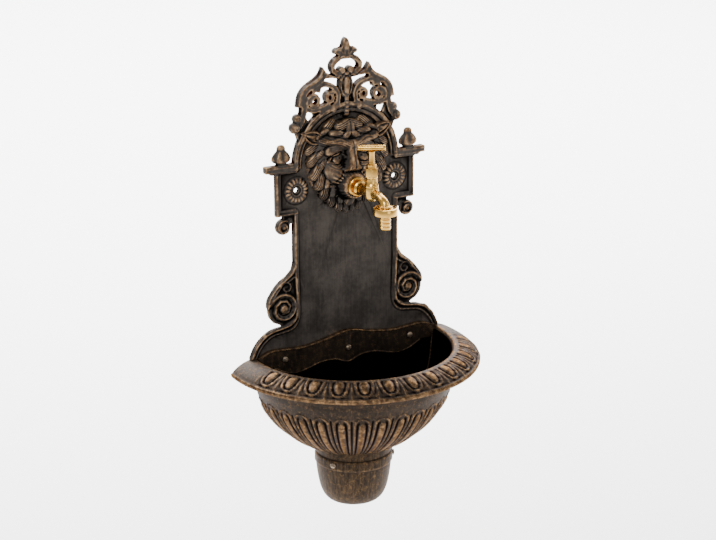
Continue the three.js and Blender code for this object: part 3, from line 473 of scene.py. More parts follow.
def dome_depth(x, z):
    """The front of the smooth dome that the face and the mane lie on."""
    dx, dz = np.abs(x), z - MASK_Z
    share = np.clip(np.hypot(dx, dz) / mask_edge(np.arctan2(dz, dx)), 0, 1)
    return MASK_BASE + MASK_RISE * np.sqrt(1 - share**2.4)


def lock_depth(x, z, lock):
    """The front of one lock, with its strands, or 0 beside it."""
    lock_x, lock_z, fall, long, wide = lock
    turn = math.radians(fall)
    along = ((x - lock_x) * math.cos(turn) - (z - lock_z) * math.sin(turn)) / long
    across = (x - lock_x) * math.sin(turn) + (z - lock_z) * math.cos(turn)
    across = across + 0.3 * wide * np.sin(1.7 * along)
    taper = np.where(along > 0.15, (along - 0.15) / 0.9, (along - 0.15) / 1.2)
    girth = wide * 1.08 * domed(np.abs(taper) ** 2.3) + 0.001
    crown = domed((across / girth) ** 2)
    strands = 0.9 * np.cos(2 * math.pi * across / (0.38 * wide)) * np.clip(2.4 * crown, 0, 1)
    on_forehead = lock_z > 205 and lock_x < 50
    seat = max(6, float(dome_depth(lock_x, lock_z)) - 0.35 * wide + 5 * on_forehead)
    return np.where(crown > 0, seat + 0.78 * girth * crown + strands, 0)


def ear_depth(x, z):
    """A pointed cup: its rim stands up all round and is highest above."""
    turn = math.radians(24)
    along = ((x - EAR_X) * math.cos(turn) + (z - EAR_Z) * math.sin(turn)) / EAR_HALF
    girth = 9.5 * np.clip(1.25 - 0.45 * np.abs(along + 0.2), 0.4, 1.2)
    across = ((z - EAR_Z) * math.cos(turn) - (x - EAR_X) * math.sin(turn)) / girth
    reach = np.hypot(along, across)
    rim = 7 * bump(reach - 0.84, 0.17) + 2.5 * bump(across - 0.8, 0.35) * (reach < 1.1)
    return np.where(reach < 1.12, 8 + rim + 2.5 * bump(across + 0.1, 0.18) * (along > -0.6), 0)


def lion(x, z):
    """The mask's front at each place, and how near it is to the mask's edge, where 1 is on it."""
    x = np.abs(x)
    dz = z - MASK_Z
    share = np.hypot(x, dz) / mask_edge(np.arctan2(dz, x))
    face = dome_depth(x, z)
    mouth = np.hypot(x, z - MOUTH_Z)
    # forehead, socket, cheek and muzzle
    face += 3.5 * bump(x - 14, 11) * bump(z - 216, 8) + 3 * bump(x - 32, 14) * bump(z - 214, 6)
    face -= 7 * bump(x - 22, 17) * bump(z - 180, 13) + 4 * bump(x - 14.5, 4.5) * bump(z - 176, 20)
    cheek = ((x - 31) / 16) ** 2 + ((z - 157 - 0.25 * (x - 31)) / 15) ** 2
    face += 7 * np.exp(-(cheek**1.6))
    face += 7.5 * bump(x - 15, 12) * bump(z - 141, 14)
    # the upper lid hangs over the eye like a hood
    hood = domed(((x - 27) / 19) ** 2 + ((z - 191.5 + 0.14 * (x - 27)) / 11) ** 2)
    face += 8 * hood
    face -= 2.6 * ridge(x, z, [(10, 185.5), (17, 187), (28, 184), (36, 180), (44, 175)], 1.5, 0.3)
    face += 1.8 * ridge(x, z, [(11, 182.6), (18, 184.2), (27, 181.8), (36, 176.6), (42, 172.6)], 1.2, 0.3)
    # almond eye and the wrinkles of the lower lid
    ball_depth = domed(((x - 20.5) / 12) ** 2 + ((z - 176.5 + 0.2 * (x - 20)) / 6.8) ** 2)
    face += 6.5 * ball_depth - 1.6 * bump(np.hypot(x - 20, z - 177), 2)
    lid_places = ((12, 172, 1), (18, 169.6, 1), (26, 169, 0.9), (34, 171, 0.7), (42, 174.6, 0.5))
    for drop, height in ((0, 2.2), (3.2, 1.7), (6.4, 1.2)):
        lid = [(a, b - share_of_drop * drop) for a, b, share_of_drop in lid_places]
        face += height * ridge(x, z, lid, 1.15, 0.4)
        face -= 0.7 * height * ridge(x, z, [(a, b - 1.7) for a, b in lid], 0.9, 0.4)
    # dark creases round the cheek and beside the muzzle
    face -= 5 * ridge(x, z, [(50, 164), (49, 153), (44, 143), (36, 137), (28, 134)], 2.8)
    face -= 2.5 * ridge(x, z, [(15, 158), (21, 148), (27, 140)], 2.2)
    # the bridge widens to the nose, which ends in a sharp edge above the mouth
    wide = np.interp(z, [152, 158, 166, 182, 200], [14, 14.5, 11, 8, 8.5])
    nose = np.interp(z, [149, 154, 158, 161, 166, 180, 196, 206], [22, 27, 38, 41, 42, 37, 33, 26])
    blade = np.exp(-((x / wide) ** 4)) * ((z > NOSE_FOOT) & (z < NOSE_TOP))
    face = face * (1 - blade) + (nose - 0.9 * bump(x, 1.6)) * blade
    face += 3.5 * bump(x - 11.5, 3.6) * bump(z - 160.5, 4) - 4 * bump(np.hypot(x - 7, z - 156.5), 2.4)
    # furrows above the nose
    for level in (209.5, 213, 216.5):
        face += 1.2 * ridge(x, z, [(0, level - 1), (7, level), (15, level + 2)], 1.1)
    # the brow is a soft roll of fur over the eye
    places = curve(BROW_PLACES, 40)
    gap = np.sqrt((x[..., None] - places[:, 0]) ** 2 + (z[..., None] - places[:, 1]) ** 2)
    depth = places[gap.argmin(-1), 2]
    over = z - places[gap.argmin(-1), 1]
    roll = bump(gap.min(-1), 6.8) * np.clip((60 - x) / 14, 0, 1)
    wave = over + 1.4 * np.sin(x / 5)
    fur = 1.1 * np.cos(2 * math.pi * wave / 3.6) * roll * (x > 8)
    face += np.maximum(depth + 2 - face, 0) * roll + fur
    # lips round the tap, with whiskered pads beside them
    round_mouth = np.arctan2(z - MOUTH_Z, x)
    whiskers = 1.1 * np.cos(30 * round_mouth) * bump(mouth - 27, 8)
    lips = 39.8 - 0.05 * np.clip(mouth - 16, 0, 40) ** 2 - np.clip(mouth - 19.5, 0, 40) * 2.1
    lips += 0.7 * np.cos(24 * round_mouth) * bump(mouth - 21, 3)
    face = np.maximum(face + whiskers, lips)
    hair = np.maximum.reduce([lock_depth(x, z, lock) for lock in LOCKS])
    hair = np.where((mouth > MOUTH_HALF) & (blade < 0.1), hair, 0)
    hair = np.maximum(hair, ear_depth(x, z))
    face = np.where(share > 1, 4, face)
    return np.maximum(face, hair), np.where(hair > 6, 0, share)


FINE = 0.8
MASK_WIDTH, MASK_HEIGHT = 176, 170
MASK_WALL = 5
MASK_HOLE_HALF = 15
mask = bmesh.new()
across_count, up_count = int(MASK_WIDTH / FINE), int(MASK_HEIGHT / FINE)
bmesh.ops.create_grid(mask, x_segments=across_count, y_segments=up_count, size=0.5)
flat_x = np.array([v.co.x for v in mask.verts]) * MASK_WIDTH
flat_z = np.array([v.co.y for v in mask.verts]) * MASK_HEIGHT + MASK_Z
depths, shares = lion(flat_x, flat_z)
for vertex, x, z, depth in zip(mask.verts, flat_x, flat_z, depths):
    vertex.co = (x, -depth, z)
outside = [v for v, share, x, z in zip(mask.verts, shares, flat_x, flat_z)
    if share > 1.02 or math.hypot(x, z - MOUTH_Z) < MASK_HOLE_HALF]
bmesh.ops.delete(mask, geom=outside, context="VERTS")
thickened(mask, MASK_WALL)
bmesh.ops.recalc_face_normals(mask, faces=mask.faces)
lion_mask = thing("lion_mask", mask)
mask_places = averaged(lion_mask.data, places_of(lion_mask.data), 1)
mask_places[:, 1] = np.minimum(mask_places[:, 1], -0.5)
move(lion_mask.data, mask_places)


def lion_told(places, facing, proud):
    """Each strand is rubbed along its crest, the front of the face all over, and the beard stays dark."""
    strand = ((places - averaged(lion_mask.data, places, 3)) * facing).sum(1) / 0.16
    forward = np.clip((-places[:, 1] - 21) / 9, 0, 1) * (facing[:, 1] < -0.4)
    return 0.5 * proud + 0.5 * strand + 0.34 * forward - 0.8 * np.clip((136 - places[:, 2]) / 18, 0, 1)


wear_and_painted_light(lion_mask, 12, 0.8, lion_told)

back_plate = fused(thing("back_plate_casting", plate), 1.2)
plate_places = averaged(back_plate.data, places_of(back_plate.data), 1)
plate_places[:, 1] = np.minimum(plate_places[:, 1], 0)
move(back_plate.data, plate_places)


def plate_told(places, facing, proud):
    """The crest and the finials are rubbed all over their fronts, and the returns get painted shade."""
    x, _, z = places.T
    front = facing[:, 1] < -0.6
    finial = (np.abs(x) > 98) & (z > 177) & (z < 212)
    proud = np.where(front & (finial | (z > 252)), proud + 0.24, proud)
    # painted shade: faces turned away from the front go darker
    proud = np.where(front, proud, proud - 0.55 * np.clip((facing[:, 1] + 0.6) / 0.4, 0, 1))
    return np.where(places[:, 1] > -0.3, -0.2, proud)


wear_and_painted_light(back_plate, 8, 0.6, plate_told)
thinned(back_plate, 0.3)
both = bmesh.new()
both.from_mesh(back_plate.data)
both.from_mesh(lion_mask.data)
for face in both.faces:
    face.smooth = True
for edge in both.edges:
    behind = all(v.co.y * METRE > -0.3 for v in edge.verts)
    edge.smooth = not (behind and edge.is_manifold and edge.calc_face_angle() > 0.4)
both.to_mesh(back_plate.data)
both.free()
bpy.data.objects.remove(lion_mask)
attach(back_plate, "fountain")
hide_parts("back_plate")


# Patina: a dark brown-black coat over iron, rubbed back to copper-bronze on all that stands proud,
# with a fine cast grain and cloudy patches. The near-black of grime in the hollows is also painted
# as shade where a told function sets the notes low, and the copper is also a painted highlight
# where one sets them high.
class Tint:
    """A value in a material, so that sums of values read as plain Python."""

    tree = None

    def __init__(self, socket):
        self.socket = socket

    @classmethod
    def of(cls, kind, settings, inputs, output=0):
        made = cls.tree.nodes.new(kind)
        for name, value in settings.items():
            setattr(made, name, value)
        cls.fill(made, inputs)
        return cls(made.outputs[output])

    @classmethod
    def fill(cls, node, inputs):
        for name, value in inputs.items():
            if isinstance(value, Tint):
                cls.tree.links.new(value.socket, node.inputs[name])
            else:
                node.inputs[name].default_value = value

    def maths(self, operation, first, second):
        return Tint.of("ShaderNodeMath", {"operation": operation}, {0: first, 1: second})

    def __add__(self, other):
        return self.maths("ADD", self, other)

    def __sub__(self, other):
        return self.maths("SUBTRACT", self, other)

    def __rsub__(self, other):
        return self.maths("SUBTRACT", other, self)

    def __mul__(self, other):
        return self.maths("MULTIPLY", self, other)

    __radd__ = __add__
    __rmul__ = __mul__

    def within(self, low, high):
        """0 below low, 1 above high, smooth between."""
        limits = {"Value": self, "From Min": low, "From Max": high}
        return Tint.of("ShaderNodeMapRange", {"interpolation_type": "SMOOTHSTEP"}, limits)


def blended(share, first, second):
    """The first colour, giving way to the second as the share goes from 0 to 1."""
    factor, first_colour, second_colour, colour_out = 0, 6, 7, 2
    colours = {factor: share, first_colour: first, second_colour: second}
    return Tint.of("ShaderNodeMix", {"data_type": "RGBA"}, colours, colour_out)


def noise(place, scale, detail=3.0):
    return Tint.of("ShaderNodeTexNoise", {}, {"Vector": place, "Scale": scale, "Detail": detail}, "Fac")


def stretched(place, scales):
    return Tint.of("ShaderNodeMapping", {}, {"Vector": place, "Scale": scales})


def roughened(height, strength, distance):
    return Tint.of("ShaderNodeBump", {}, {"Height": height, "Strength": strength, "Distance": distance})


def new_material(name):
    """A material with its own nodes, and the place on the piece that its patterns are read at."""
    made = bpy.data.materials.new(name)
    made.use_nodes = True
    Tint.tree = made.node_tree
    return made, Tint.of("ShaderNodeTexCoord", {}, {}, "Object")


def skinned(made, inputs):
    """Gives the surface its colour, roughness and the like."""
    Tint.fill(made.node_tree.nodes["Principled BSDF"], inputs)
    return made


def patina(name, coats, coppers, speckle=0.0, most_wear_and_highlight=0.8, streaky=0.2):
    """A dark coat of two shades, rubbed to copper of two shades. A streaky one runs down the piece. Low
    notes give near-black, grime in hollows and painted shade; high notes give copper, wear and painted
    highlight.
    """
    made, place = new_material(name)
    proud = Tint.of("ShaderNodeAttribute", {"attribute_name": "wear_and_painted_light"}, {}, "Fac")
    cloud = noise(place, 22)
    mottle = noise(place, 140, 4)
    grain = noise(place, 900, 2)
    streaks = noise(stretched(place, (300, 300, 30)), 1)
    # copper share: real wear on what stands proud, and painted highlight where the notes were raised
    wear_and_highlight = (proud * (0.5 + mottle) + (cloud - 0.5) * 0.2 + (streaks - 0.5) * 0.16).within(0.24, 0.95)
    # near-black share: grime in the hollows, and painted shade where the notes were forced down
    dirt_and_shade = (0 - proud).within(0.1, 0.75)
    flecks = (grain * 0.6 + mottle * 0.4).within(0.53, 0.64) * speckle * (1 - dirt_and_shade)
    shade = cloud * (0.7 - 0.7 * streaky) + mottle * (0.3 - 0.3 * streaky) + streaks * streaky
    colour = blended(shade.within(0.36, 0.64), *coats)
    colour = blended(wear_and_highlight * most_wear_and_highlight, colour, blended(mottle.within(0.35, 0.65), *coppers))
    colour = blended(flecks * (0.3 + 0.5 * wear_and_highlight), colour, FLECK)
    colour = blended(dirt_and_shade * 0.96, colour, SOOT_AND_SHADE)
    return skinned(made, {
        "Base Color": colour,
        "Roughness": 0.54 - 0.14 * wear_and_highlight + 0.2 * (mottle - 0.5),
        # full metal with the near-black colour kills reflections, so the painted shade stays black
        "Metallic": (0.35 + 0.4 * wear_and_highlight + 0.6 * dirt_and_shade).within(0, 1),
        "Specular IOR Level": 0.28,
        "Specular Tint": (0.5, 0.4, 0.32, 1),
        "Normal": roughened(grain * 0.5 + mottle * 0.5, 0.5, 0.0006),
    })


FLECK = (0.36, 0.2, 0.085, 1)
# near-black for grime in the hollows and for painted shade
SOOT_AND_SHADE = (0.0026, 0.0022, 0.0022, 1)
PLATE_COATS = (0.024, 0.021, 0.019, 1), (0.06, 0.051, 0.045, 1)
PLATE_COPPERS = (0.17, 0.093, 0.045, 1), (0.38, 0.245, 0.14, 1)
back_plate.data.materials.append(patina("plate_patina", PLATE_COATS, PLATE_COPPERS))

# Basin.
# One iron casting screwed to the plate's foot: half a turned bowl under a wide rim. The rim carries
# egg and dart, and tongues run down the bowl from a grained band.
EGG_START, EGG_END, EDGE_BEAD = (173, -138.6), (207, -155), (209.4, -157.2)
DRAIN_HALF = 14
RIM = [(166.6, -139.2), (169.5, -138.3), EGG_START, (180, -140), (188, -142.6), (196, -146.3), (203, -151),
    EGG_END, EDGE_BEAD, (210, -160), (209, -163), (205.5, -164.2), (198, -165.5), (186, -168),
    (175, -172.5), (169.5, -178), (167, -184)]
OUTSIDE = [*RIM, (165.6, -192), (163.3, -201), (160.6, -211), (156, -222), (149.5, -234), (140.5, -247),
    (129.8, -260), (115, -274), (98.6, -287), (81, -298), (62.8, -307), (45, -315), (24, -321.5),
    (DRAIN_HALF, -322.9)]
INSIDE = [(DRAIN_HALF, -315.8), (40, -311), (75, -295), (105, -276), (128, -254), (144, -232), (154, -208),
    (158, -188), (160, -165), (162, -150), (164, -142), (166.6, -139.2)]
BASIN_AXIS = 22
TURN_PITCH = math.radians(12)
EGG_RISE, CRADLE_RISE, DART_RISE, EGG_BED, BEAD_RISE = 2.4, 1.7, 1.2, 0.9, 0.8
EGG_HALF, CRADLE_HALF = 8.2, 13.5
LAST_EGG = math.radians(78)
TONGUE_START = (161.6, -207)
BORDER_RISE, LEAF_RISE, GROOVE_DEPTH = 1.7, 2.3, 1.2
# half widths of a tongue's parts where the bowl's radius is 160; they narrow with it
WIDEST = 160
LEAF_HALF, BORDER_HALF, TONGUE_HALF = 6.6, 12.4, 16.7


def turned_pot(outline, axis_depth, steps):
    """A closed outline of radius and height, turned all round an upright axis this far off the wall."""
    pot = bmesh.new()
    chain = [pot.verts.new((r, -axis_depth, z)) for r, z in outline]
    line = chain + [pot.edges.new(ends) for ends in zip(chain, chain[1:] + chain[:1])]
    centre = (0, -axis_depth, 0)
    bmesh.ops.spin(pot, geom=line, cent=centre, axis=UPWARD, angle=ALL_ROUND, steps=steps, use_merge=True)
    bmesh.ops.remove_doubles(pot, verts=pot.verts, dist=SAME_PLACE)
    return pot


def cut_at_wall(pot):
    """Leaves the half in front of the wall, with its cut rims closed."""
    whole = pot.verts[:] + pot.edges[:] + pot.faces[:]
    bmesh.ops.bisect_plane(pot, geom=whole, plane_co=(0, -0.05, 0), plane_no=FORWARD, clear_outer=True)
    bmesh.ops.triangle_fill(pot, use_beauty=True, edges=[e for e in pot.edges if e.is_boundary])


outer_line = curve(OUTSIDE, 210)
bowl = turned_pot([*outer_line, *curve(INSIDE, 40)[1:-1]], BASIN_AXIS, 480)
bmesh.ops.recalc_face_normals(bowl, faces=bowl.faces)
bowl_x = np.array([v.co.x for v in bowl.verts])
bowl_y = np.array([v.co.y for v in bowl.verts]) + BASIN_AXIS
bowl_z = np.array([v.co.z for v in bowl.verts])
bowl_r = np.hypot(bowl_x, bowl_y)
# for each place: how far down the outside it lies, which way that runs, and where in a turn of the pattern
run = np.concatenate([[0], np.cumsum(np.linalg.norm(np.diff(outer_line, axis=0), axis=1))])
line_tree = KDTree(len(outer_line))
for k, (line_r, line_z) in enumerate(outer_line):
    line_tree.insert((line_r, line_z, 0), k)
line_tree.balance()
found = [line_tree.find((r, z, 0))[1:] for r, z in zip(bowl_r, bowl_z)]
nearest = np.array([index for index, _ in found])
on_skin = np.array([distance for _, distance in found]) < 0.05
reach = run[nearest]
along = np.gradient(outer_line, axis=0)[nearest]
along /= np.linalg.norm(along, axis=1)[:, None]
turned = np.arctan2(bowl_y, bowl_x)
phase = (turned + math.pi / 2) / TURN_PITCH
phase = phase - np.round(phase)
across = phase * TURN_PITCH * bowl_r


def run_to(place):
    """How far down the outside a place on it lies."""
    return run[np.hypot(outer_line[:, 0] - place[0], outer_line[:, 1] - place[1]).argmin()]


# eggs in their cradles, with darts between them
egg_top, egg_foot = run_to(EGG_START), run_to(EGG_END)
down = (reach - egg_top) / (egg_foot - egg_top)
in_eggs = np.clip(down * 8, 0, 1) * np.clip((1.03 - down) * 12, 0, 1)
egg = np.sqrt(np.clip(1 - (across / EGG_HALF) ** 2 - ((down - 0.36) / 0.42) ** 2, 0, 1))
cradle_half = CRADLE_HALF * np.sqrt(np.clip(1 - ((down - 0.05) / 0.86) ** 4, 0, 1))
cradle = bump(np.abs(across) - cradle_half, 1.6) * (down < 0.95)
cradle = cradle + bump((down - 0.9) * 40, 2.2) * (np.abs(across) < 5)
dart = bump(np.abs(phase) - 0.5, 0.045) * np.clip(down * 2, 0, 1)
in_eggs *= np.clip((LAST_EGG - np.abs(turned + math.pi / 2)) * 12 + 0.5, 0, 1)
height = in_eggs * (EGG_RISE * egg + CRADLE_RISE * np.clip(cradle, 0, 1) + DART_RISE * dart - EGG_BED)
height += BEAD_RISE * bump(reach - run_to(EDGE_BEAD) - 1, 1.6) * (0.6 + 0.4 * np.cos(across * 2.4))
# tongues down the bowl: a border round a leaf, with a groove between neighbours
tongue_down = reach - run_to(TONGUE_START)
narrow = bowl_r / WIDEST
half_pitch = TONGUE_HALF * narrow
border_half = BORDER_HALF * narrow * np.sqrt(np.clip(1 - np.clip((14 - tongue_down) / 14, 0, 1) ** 2, 0, 1))
border = bump(np.abs(across) - border_half, 1.7 * np.clip(narrow, 0.45, 1)) * (tongue_down > -1)
leaf_half = LEAF_HALF * narrow * np.sqrt(np.clip(1 - np.clip((26 - tongue_down) / 20, 0, 1) ** 2, 0.0, 1))
leaf = domed((across / np.maximum(leaf_half, 0.01)) ** 2) * (tongue_down > 6)
groove = bump(np.abs(across) - half_pitch, 1.3 * np.clip(narrow, 0.4, 1)) * (tongue_down > 4)
fade = np.clip((run[-1] - reach - 20) / 60, 0, 1)
leaf = LEAF_RISE * leaf * np.clip((tongue_down - 6) / 8, 0, 1)
height += fade * (BORDER_RISE * border + leaf - GROOVE_DEPTH * groove) * (tongue_down > -3)
height *= on_skin
new_r = bowl_r - along[:, 1] * height
new_z = bowl_z + along[:, 0] * height
# the drain hole lies a little further from the wall than the bowl's middle
DRAIN_SHIFT, SHIFTED_WITHIN = 5, 40
for vertex, r, a, z in zip(bowl.verts, new_r, turned, new_z):
    to_drain = DRAIN_SHIFT * min(1, max(0, (SHIFTED_WITHIN - r) / (SHIFTED_WITHIN - DRAIN_HALF)))
    vertex.co = (r * math.cos(a), r * math.sin(a) - BASIN_AXIS - to_drain, z)
cut_at_wall(bowl)

# its flat back wall, with the wavy upstand
WALL_FRONT, WALL_THICK = 12, 5.6
LINE_SIDES = 8


def both_sides(right_half):
    """A line from left to right, given from the middle to the right."""
    return [*[(-x, z) for x, z in reversed(right_half[1:])], *right_half]


upper = curve(both_sides([(0, -116), (42, -124), (85, -130), (140, -127.5), (165, -137)]), 80)
below_rim = [(r - 3, z) for r, z in OUTSIDE if z < -185]
right = [(164, -150), (162, -180), *[(math.sqrt(max(r * r - 13**2, 1)), z) for r, z in below_rim]]
outline = [*upper, *right, *[(-x, z) for x, z in reversed(right)]]
wall = bmesh.new()
wall.faces.new([wall.verts.new((x, -WALL_FRONT, z)) for x, z in outline])
thickened(wall, WALL_THICK)
for cuts, across_cut in ((np.arange(-156, 160, 6), (1, 0, 0)), (np.arange(-316, -118, 4), UPWARD)):
    for cut in cuts:
        whole = wall.verts[:] + wall.edges[:] + wall.faces[:]
        on_cut = Vector(across_cut) * float(cut)
        bmesh.ops.bisect_plane(wall, geom=whole, plane_co=on_cut, plane_no=across_cut)
laid_on(bowl, wall)
low_line = curve(both_sides([(0, -171), (25, -163), (52, -163), (85, -171), (112, -170), (138, -158)]), 60)
seam = [(math.sqrt(r * r - 9**2), z) for r, z in INSIDE if -233 < z < -149]
for line, depth, width, thick in (
    ([(x, z - 1.6) for x, z in upper[2:-2]], 12.2, 3.6, 2.6),
    (low_line, 11.8, 3, 1.8),
    ([(-x, z) for x, z in seam], 13.2, 2.2, 2.4),
    (seam, 13.2, 2.2, 2.4),
):
    places = [(x, depth, z) for x, z in line]
    bar(bowl, places, [width] * len(places), [thick] * len(places), LINE_SIDES)
bmesh.ops.triangulate(bowl, faces=[f for f in bowl.faces if len(f.verts) > 4])
bmesh.ops.recalc_face_normals(bowl, faces=bowl.faces)
basin = thing("basin_casting", bowl)


def basin_told(places, facing, proud):
    """The bowl's inside and the back wall get painted shade, near-black below the lower wavy line; the wavy
    top and the seams at the sides get painted highlights.
    """
    x, y, z = places.T
    radius = np.hypot(x, y + BASIN_AXIS)
    inside = (facing[:, 0] * x + facing[:, 1] * (y + BASIN_AXIS) < 0) & (radius < 166) & (y < -14)
    floor_inside = (facing[:, 2] > 0.3) & (radius < 160) & (z < -170)
    wall = (y > -13.4) & (y < -5) & (radius < 168) & (facing[:, 1] < -0.5)
    top = (y > -16) & (radius < 168) & (z > np.interp(np.abs(x), *upper[::-1][:40].T) - 4)
    # painted shade: the bowl's inside and its floor go near-black
    proud = np.where(inside | floor_inside, -0.95, proud)
    # painted shade on the back wall's face
    proud = np.where(wall, np.minimum(proud * 0.5 - 0.34, 0.4), proud)
    below = wall & (z < np.interp(x, low_line[:, 0], low_line[:, 1]) - 1)
    # painted shade below the lower wavy line
    proud = np.where(below, -0.95, proud)
    # painted highlight: copper along the wavy top and the seams at the sides
    beside = (y > -15.2) & (y < -12.6) & (z < -150) & (z > -234) & (radius > 142) & (radius < 162)
    return np.where(top, proud + 0.75, np.where(beside, 0.45, proud))


wear_and_painted_light(basin, 7, 0.55, basin_told)
CAST_EDGE = 62
smooth(basin, CAST_EDGE)
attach(basin, "fountain")
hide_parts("basin")
BASIN_COATS = (0.013, 0.01, 0.008, 1), (0.034, 0.023, 0.016, 1)
BASIN_COPPERS = (0.06, 0.033, 0.017, 1), (0.16, 0.098, 0.052, 1)
basin.data.materials.append(patina("basin_patina", BASIN_COATS, BASIN_COPPERS, 0.9, 0.72, 0.3))

# Drain cup.
# Half of a turned cup, cast with a raised band, screwed to two lugs under the basin.
CUP_AXIS = 27
CUP_OUTSIDE = [(2, -408), (22, -407.8), (38, -404.5), (48, -397.5), (54.8, -384), (59, -366), (61.8, -346),
    (62.6, -337), (64.4, -335.4), (64.5, -328), (64.4, -320.6), (62.8, -319), (63, -310), (62.4, -297)]
CUP_INSIDE = [(59, -297), (59, -342), (54, -366), (50, -384), (42, -397), (30, -403), (2, -404)]
cup = turned_pot([*curve(CUP_OUTSIDE, 70), *curve(CUP_INSIDE, 24)], CUP_AXIS, 144)
# its top follows the underside of the bowl, and is tucked in a little
TUCKED_IN = 0.3
under_r, under_z = np.array([place for place in OUTSIDE if place[1] < -190][::-1]).T
for vertex in cup.verts:
    from_axis = math.hypot(vertex.co.x, vertex.co.y + BASIN_AXIS)
    vertex.co.z = min(vertex.co.z, float(np.interp(from_axis, under_r, under_z)) + TUCKED_IN)
cut_at_wall(cup)
bmesh.ops.recalc_face_normals(cup, faces=cup.faces)
drain_cup = thing("drain_cup_casting", cup)
wear_and_painted_light(drain_cup, 4, 1.1)
smooth(drain_cup, CAST_EDGE)
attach(drain_cup, "fountain")
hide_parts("drain_cup")
CUP_COATS = (0.015, 0.0105, 0.0075, 1), (0.05, 0.031, 0.017, 1)
drain_cup.data.materials.append(patina("cup_patina", CUP_COATS, BASIN_COPPERS, 1.0, 0.8, 0.75))

# Tap.
# Polished brass: collar, body with its chamber and curved spout, hexagonal bonnet, flat union nut and
# ribbed hose tail, and the spindle with its T-bar, which turn together.
def brass():
    made, place = new_material("polished_brass")
    cloud = noise(place, 60)
    turning = noise(stretched(place, (60, 60, 400)), 1, 2)
    return skinned(made, {
        "Base Color": blended(cloud.within(0.3, 0.7), (0.56, 0.3, 0.06, 1), (0.76, 0.46, 0.12, 1)),
        "Roughness": 0.14 + 0.14 * cloud + 0.06 * turning,
        "Metallic": 1,
        "Normal": roughened(cloud, 0.08, 0.0005),
    })


TURNED_EDGE = 38


def fitted(form, name, node, body, material):
    """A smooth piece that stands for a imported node. Its sharp edges stay sharp."""
    made = thing(name, form) if isinstance(form, bmesh.types.BMesh) else form
    smooth(made, TURNED_EDGE)
    made.data.materials.append(material)
    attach(made, body)
    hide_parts(node)
    return made


MOUTH = (0, 0, MOUTH_Z)
CHAMBER = (0, -87, 0)
SPOUT_END = (0, -129, 0)
polished = brass()

COLLAR = [(10.3, 40.3), (15.6, 40.3), (16.5, 41.2), (16.5, 43.6), (15.7, 45.4), (14.6, 46), (14.1, 45.2),
    (12.6, 45.3), (12, 46.6), (11.8, 48.3), (10.3, 48.3), (10.3, 40.3)]
collar = spun(COLLAR, MOUTH, FORWARD, 72)
fitted(collar, "tap_collar_turned", "tap_collar", "fountain", polished)

SHANK = [(0, 24), (10, 24), (10, 48.6), (11.6, 48.6), (12, 49.2), (12, 52.4), (11.5, 53), (9.6, 54.5),
    (8.8, 57), (8.8, 61), (9.6, 66), (10, 74), (9.4, 84), (0, 88)]
CHAMBER_WALL = [(0, 119), (4, 119.1), (7.4, 121), (9.6, 125), (10.9, 130), (11.5, 137), (11.4, 141.4),
    (10.8, 143), (11.4, 143.8), (11.4, 146), (10.6, 147), (9.6, 149), (9.2, 152), (9.2, 156.8), (0, 156.8)]
SPOUT_COLLAR = [(0, 113.4), (11, 113.4), (11, 121.4), (10.2, 122), (0, 122)]
SPOUT_LINE = [(85, 132.6), (99, 132.4), (115, 130), (126, 124), (129.4, 112.2)]
SPOUT_WIDE, SPOUT_WAIST = 15.4, 1.2
body = spun(SHANK, MOUTH, FORWARD, 64)
laid_on(body, spun(CHAMBER_WALL, CHAMBER, UPWARD, 64))
spout_line = np.array([(0, -depth, z) for depth, z in curve(SPOUT_LINE, 30)])
spout_rings = []
for k, (spot, flow) in enumerate(zip(spout_line, np.linspace(0, 1, 30))):
    half = (SPOUT_WIDE - SPOUT_WAIST * math.sin(math.pi * flow) ** 2) / 2
    ahead = Vector(spout_line[min(k + 1, len(spout_line) - 1)] - spout_line[max(k - 1, 0)]).normalized()
    sideways = Vector((1, 0, 0))
    axes = (sideways * half, sideways.cross(ahead) * half, ahead)
    spout_rings.append(Matrix.Translation(spot) @ Matrix(axes).transposed().to_4x4())
along_rings(body, spout_rings, 40)
laid_on(body, spun(SPOUT_COLLAR, SPOUT_END, UPWARD, 56))
body_thing = fused(thing("tap_body_cast", body), 0.55)
move(body_thing.data, averaged(body_thing.data, places_of(body_thing.data), 2))
lighter = body_thing.modifiers.new("lighter", "DECIMATE")
lighter.ratio = 0.35
settled(body_thing)
fitted(body_thing, "tap_body_cast", "tap_body", "fountain", polished)

bonnet = bmesh.new()
BONNET_HALF = 9
across_corners = BONNET_HALF / math.cos(math.pi / 6)
hexagon_place = Matrix.Translation(Vector(CHAMBER) + Vector((0, 0, 165.8)))
bmesh.ops.create_cone(bonnet, cap_ends=True, segments=6, radius1=across_corners, radius2=across_corners,
    depth=14.5, matrix=hexagon_place @ Matrix.Rotation(math.radians(30), 4, "Z"))
bmesh.ops.bevel(bonnet, geom=bonnet.edges[:], offset=0.9, segments=3, affect="EDGES", profile=0.6)
PACKING_RING = [(4.9, 157.4), (9.6, 157.4), (9.9, 158), (9.9, 159.6), (9.3, 160.2), (4.9, 160.2),
    (4.9, 157.4)]
BONNET_NECK = [(4.9, 172), (7.2, 172), (7.2, 175.4), (7.8, 175.8), (8.2, 176.4), (8.2, 177.8), (7.6, 178.6),
    (6.6, 179), (4.9, 179), (4.9, 172)]
for profile in (PACKING_RING, BONNET_NECK):
    laid_on(bonnet, spun(profile, CHAMBER, UPWARD, 56))
fitted(bonnet, "tap_bonnet_hexagon", "tap_bonnet", "fountain", polished)

UNION_NUT = [(8.8, 107), (17.4, 107), (18.5, 107.5), (19, 108.6), (19, 117.4), (18.5, 118.5), (17.4, 119),
    (15, 119), (14.2, 118.4), (12.2, 118.4), (11.3, 118.9), (11.3, 109.5), (8.8, 109.5), (8.8, 107)]
nut = spun(UNION_NUT, SPOUT_END, UPWARD, 80)
fitted(nut, "union_nut_turned", "union_nut", "fountain", polished)

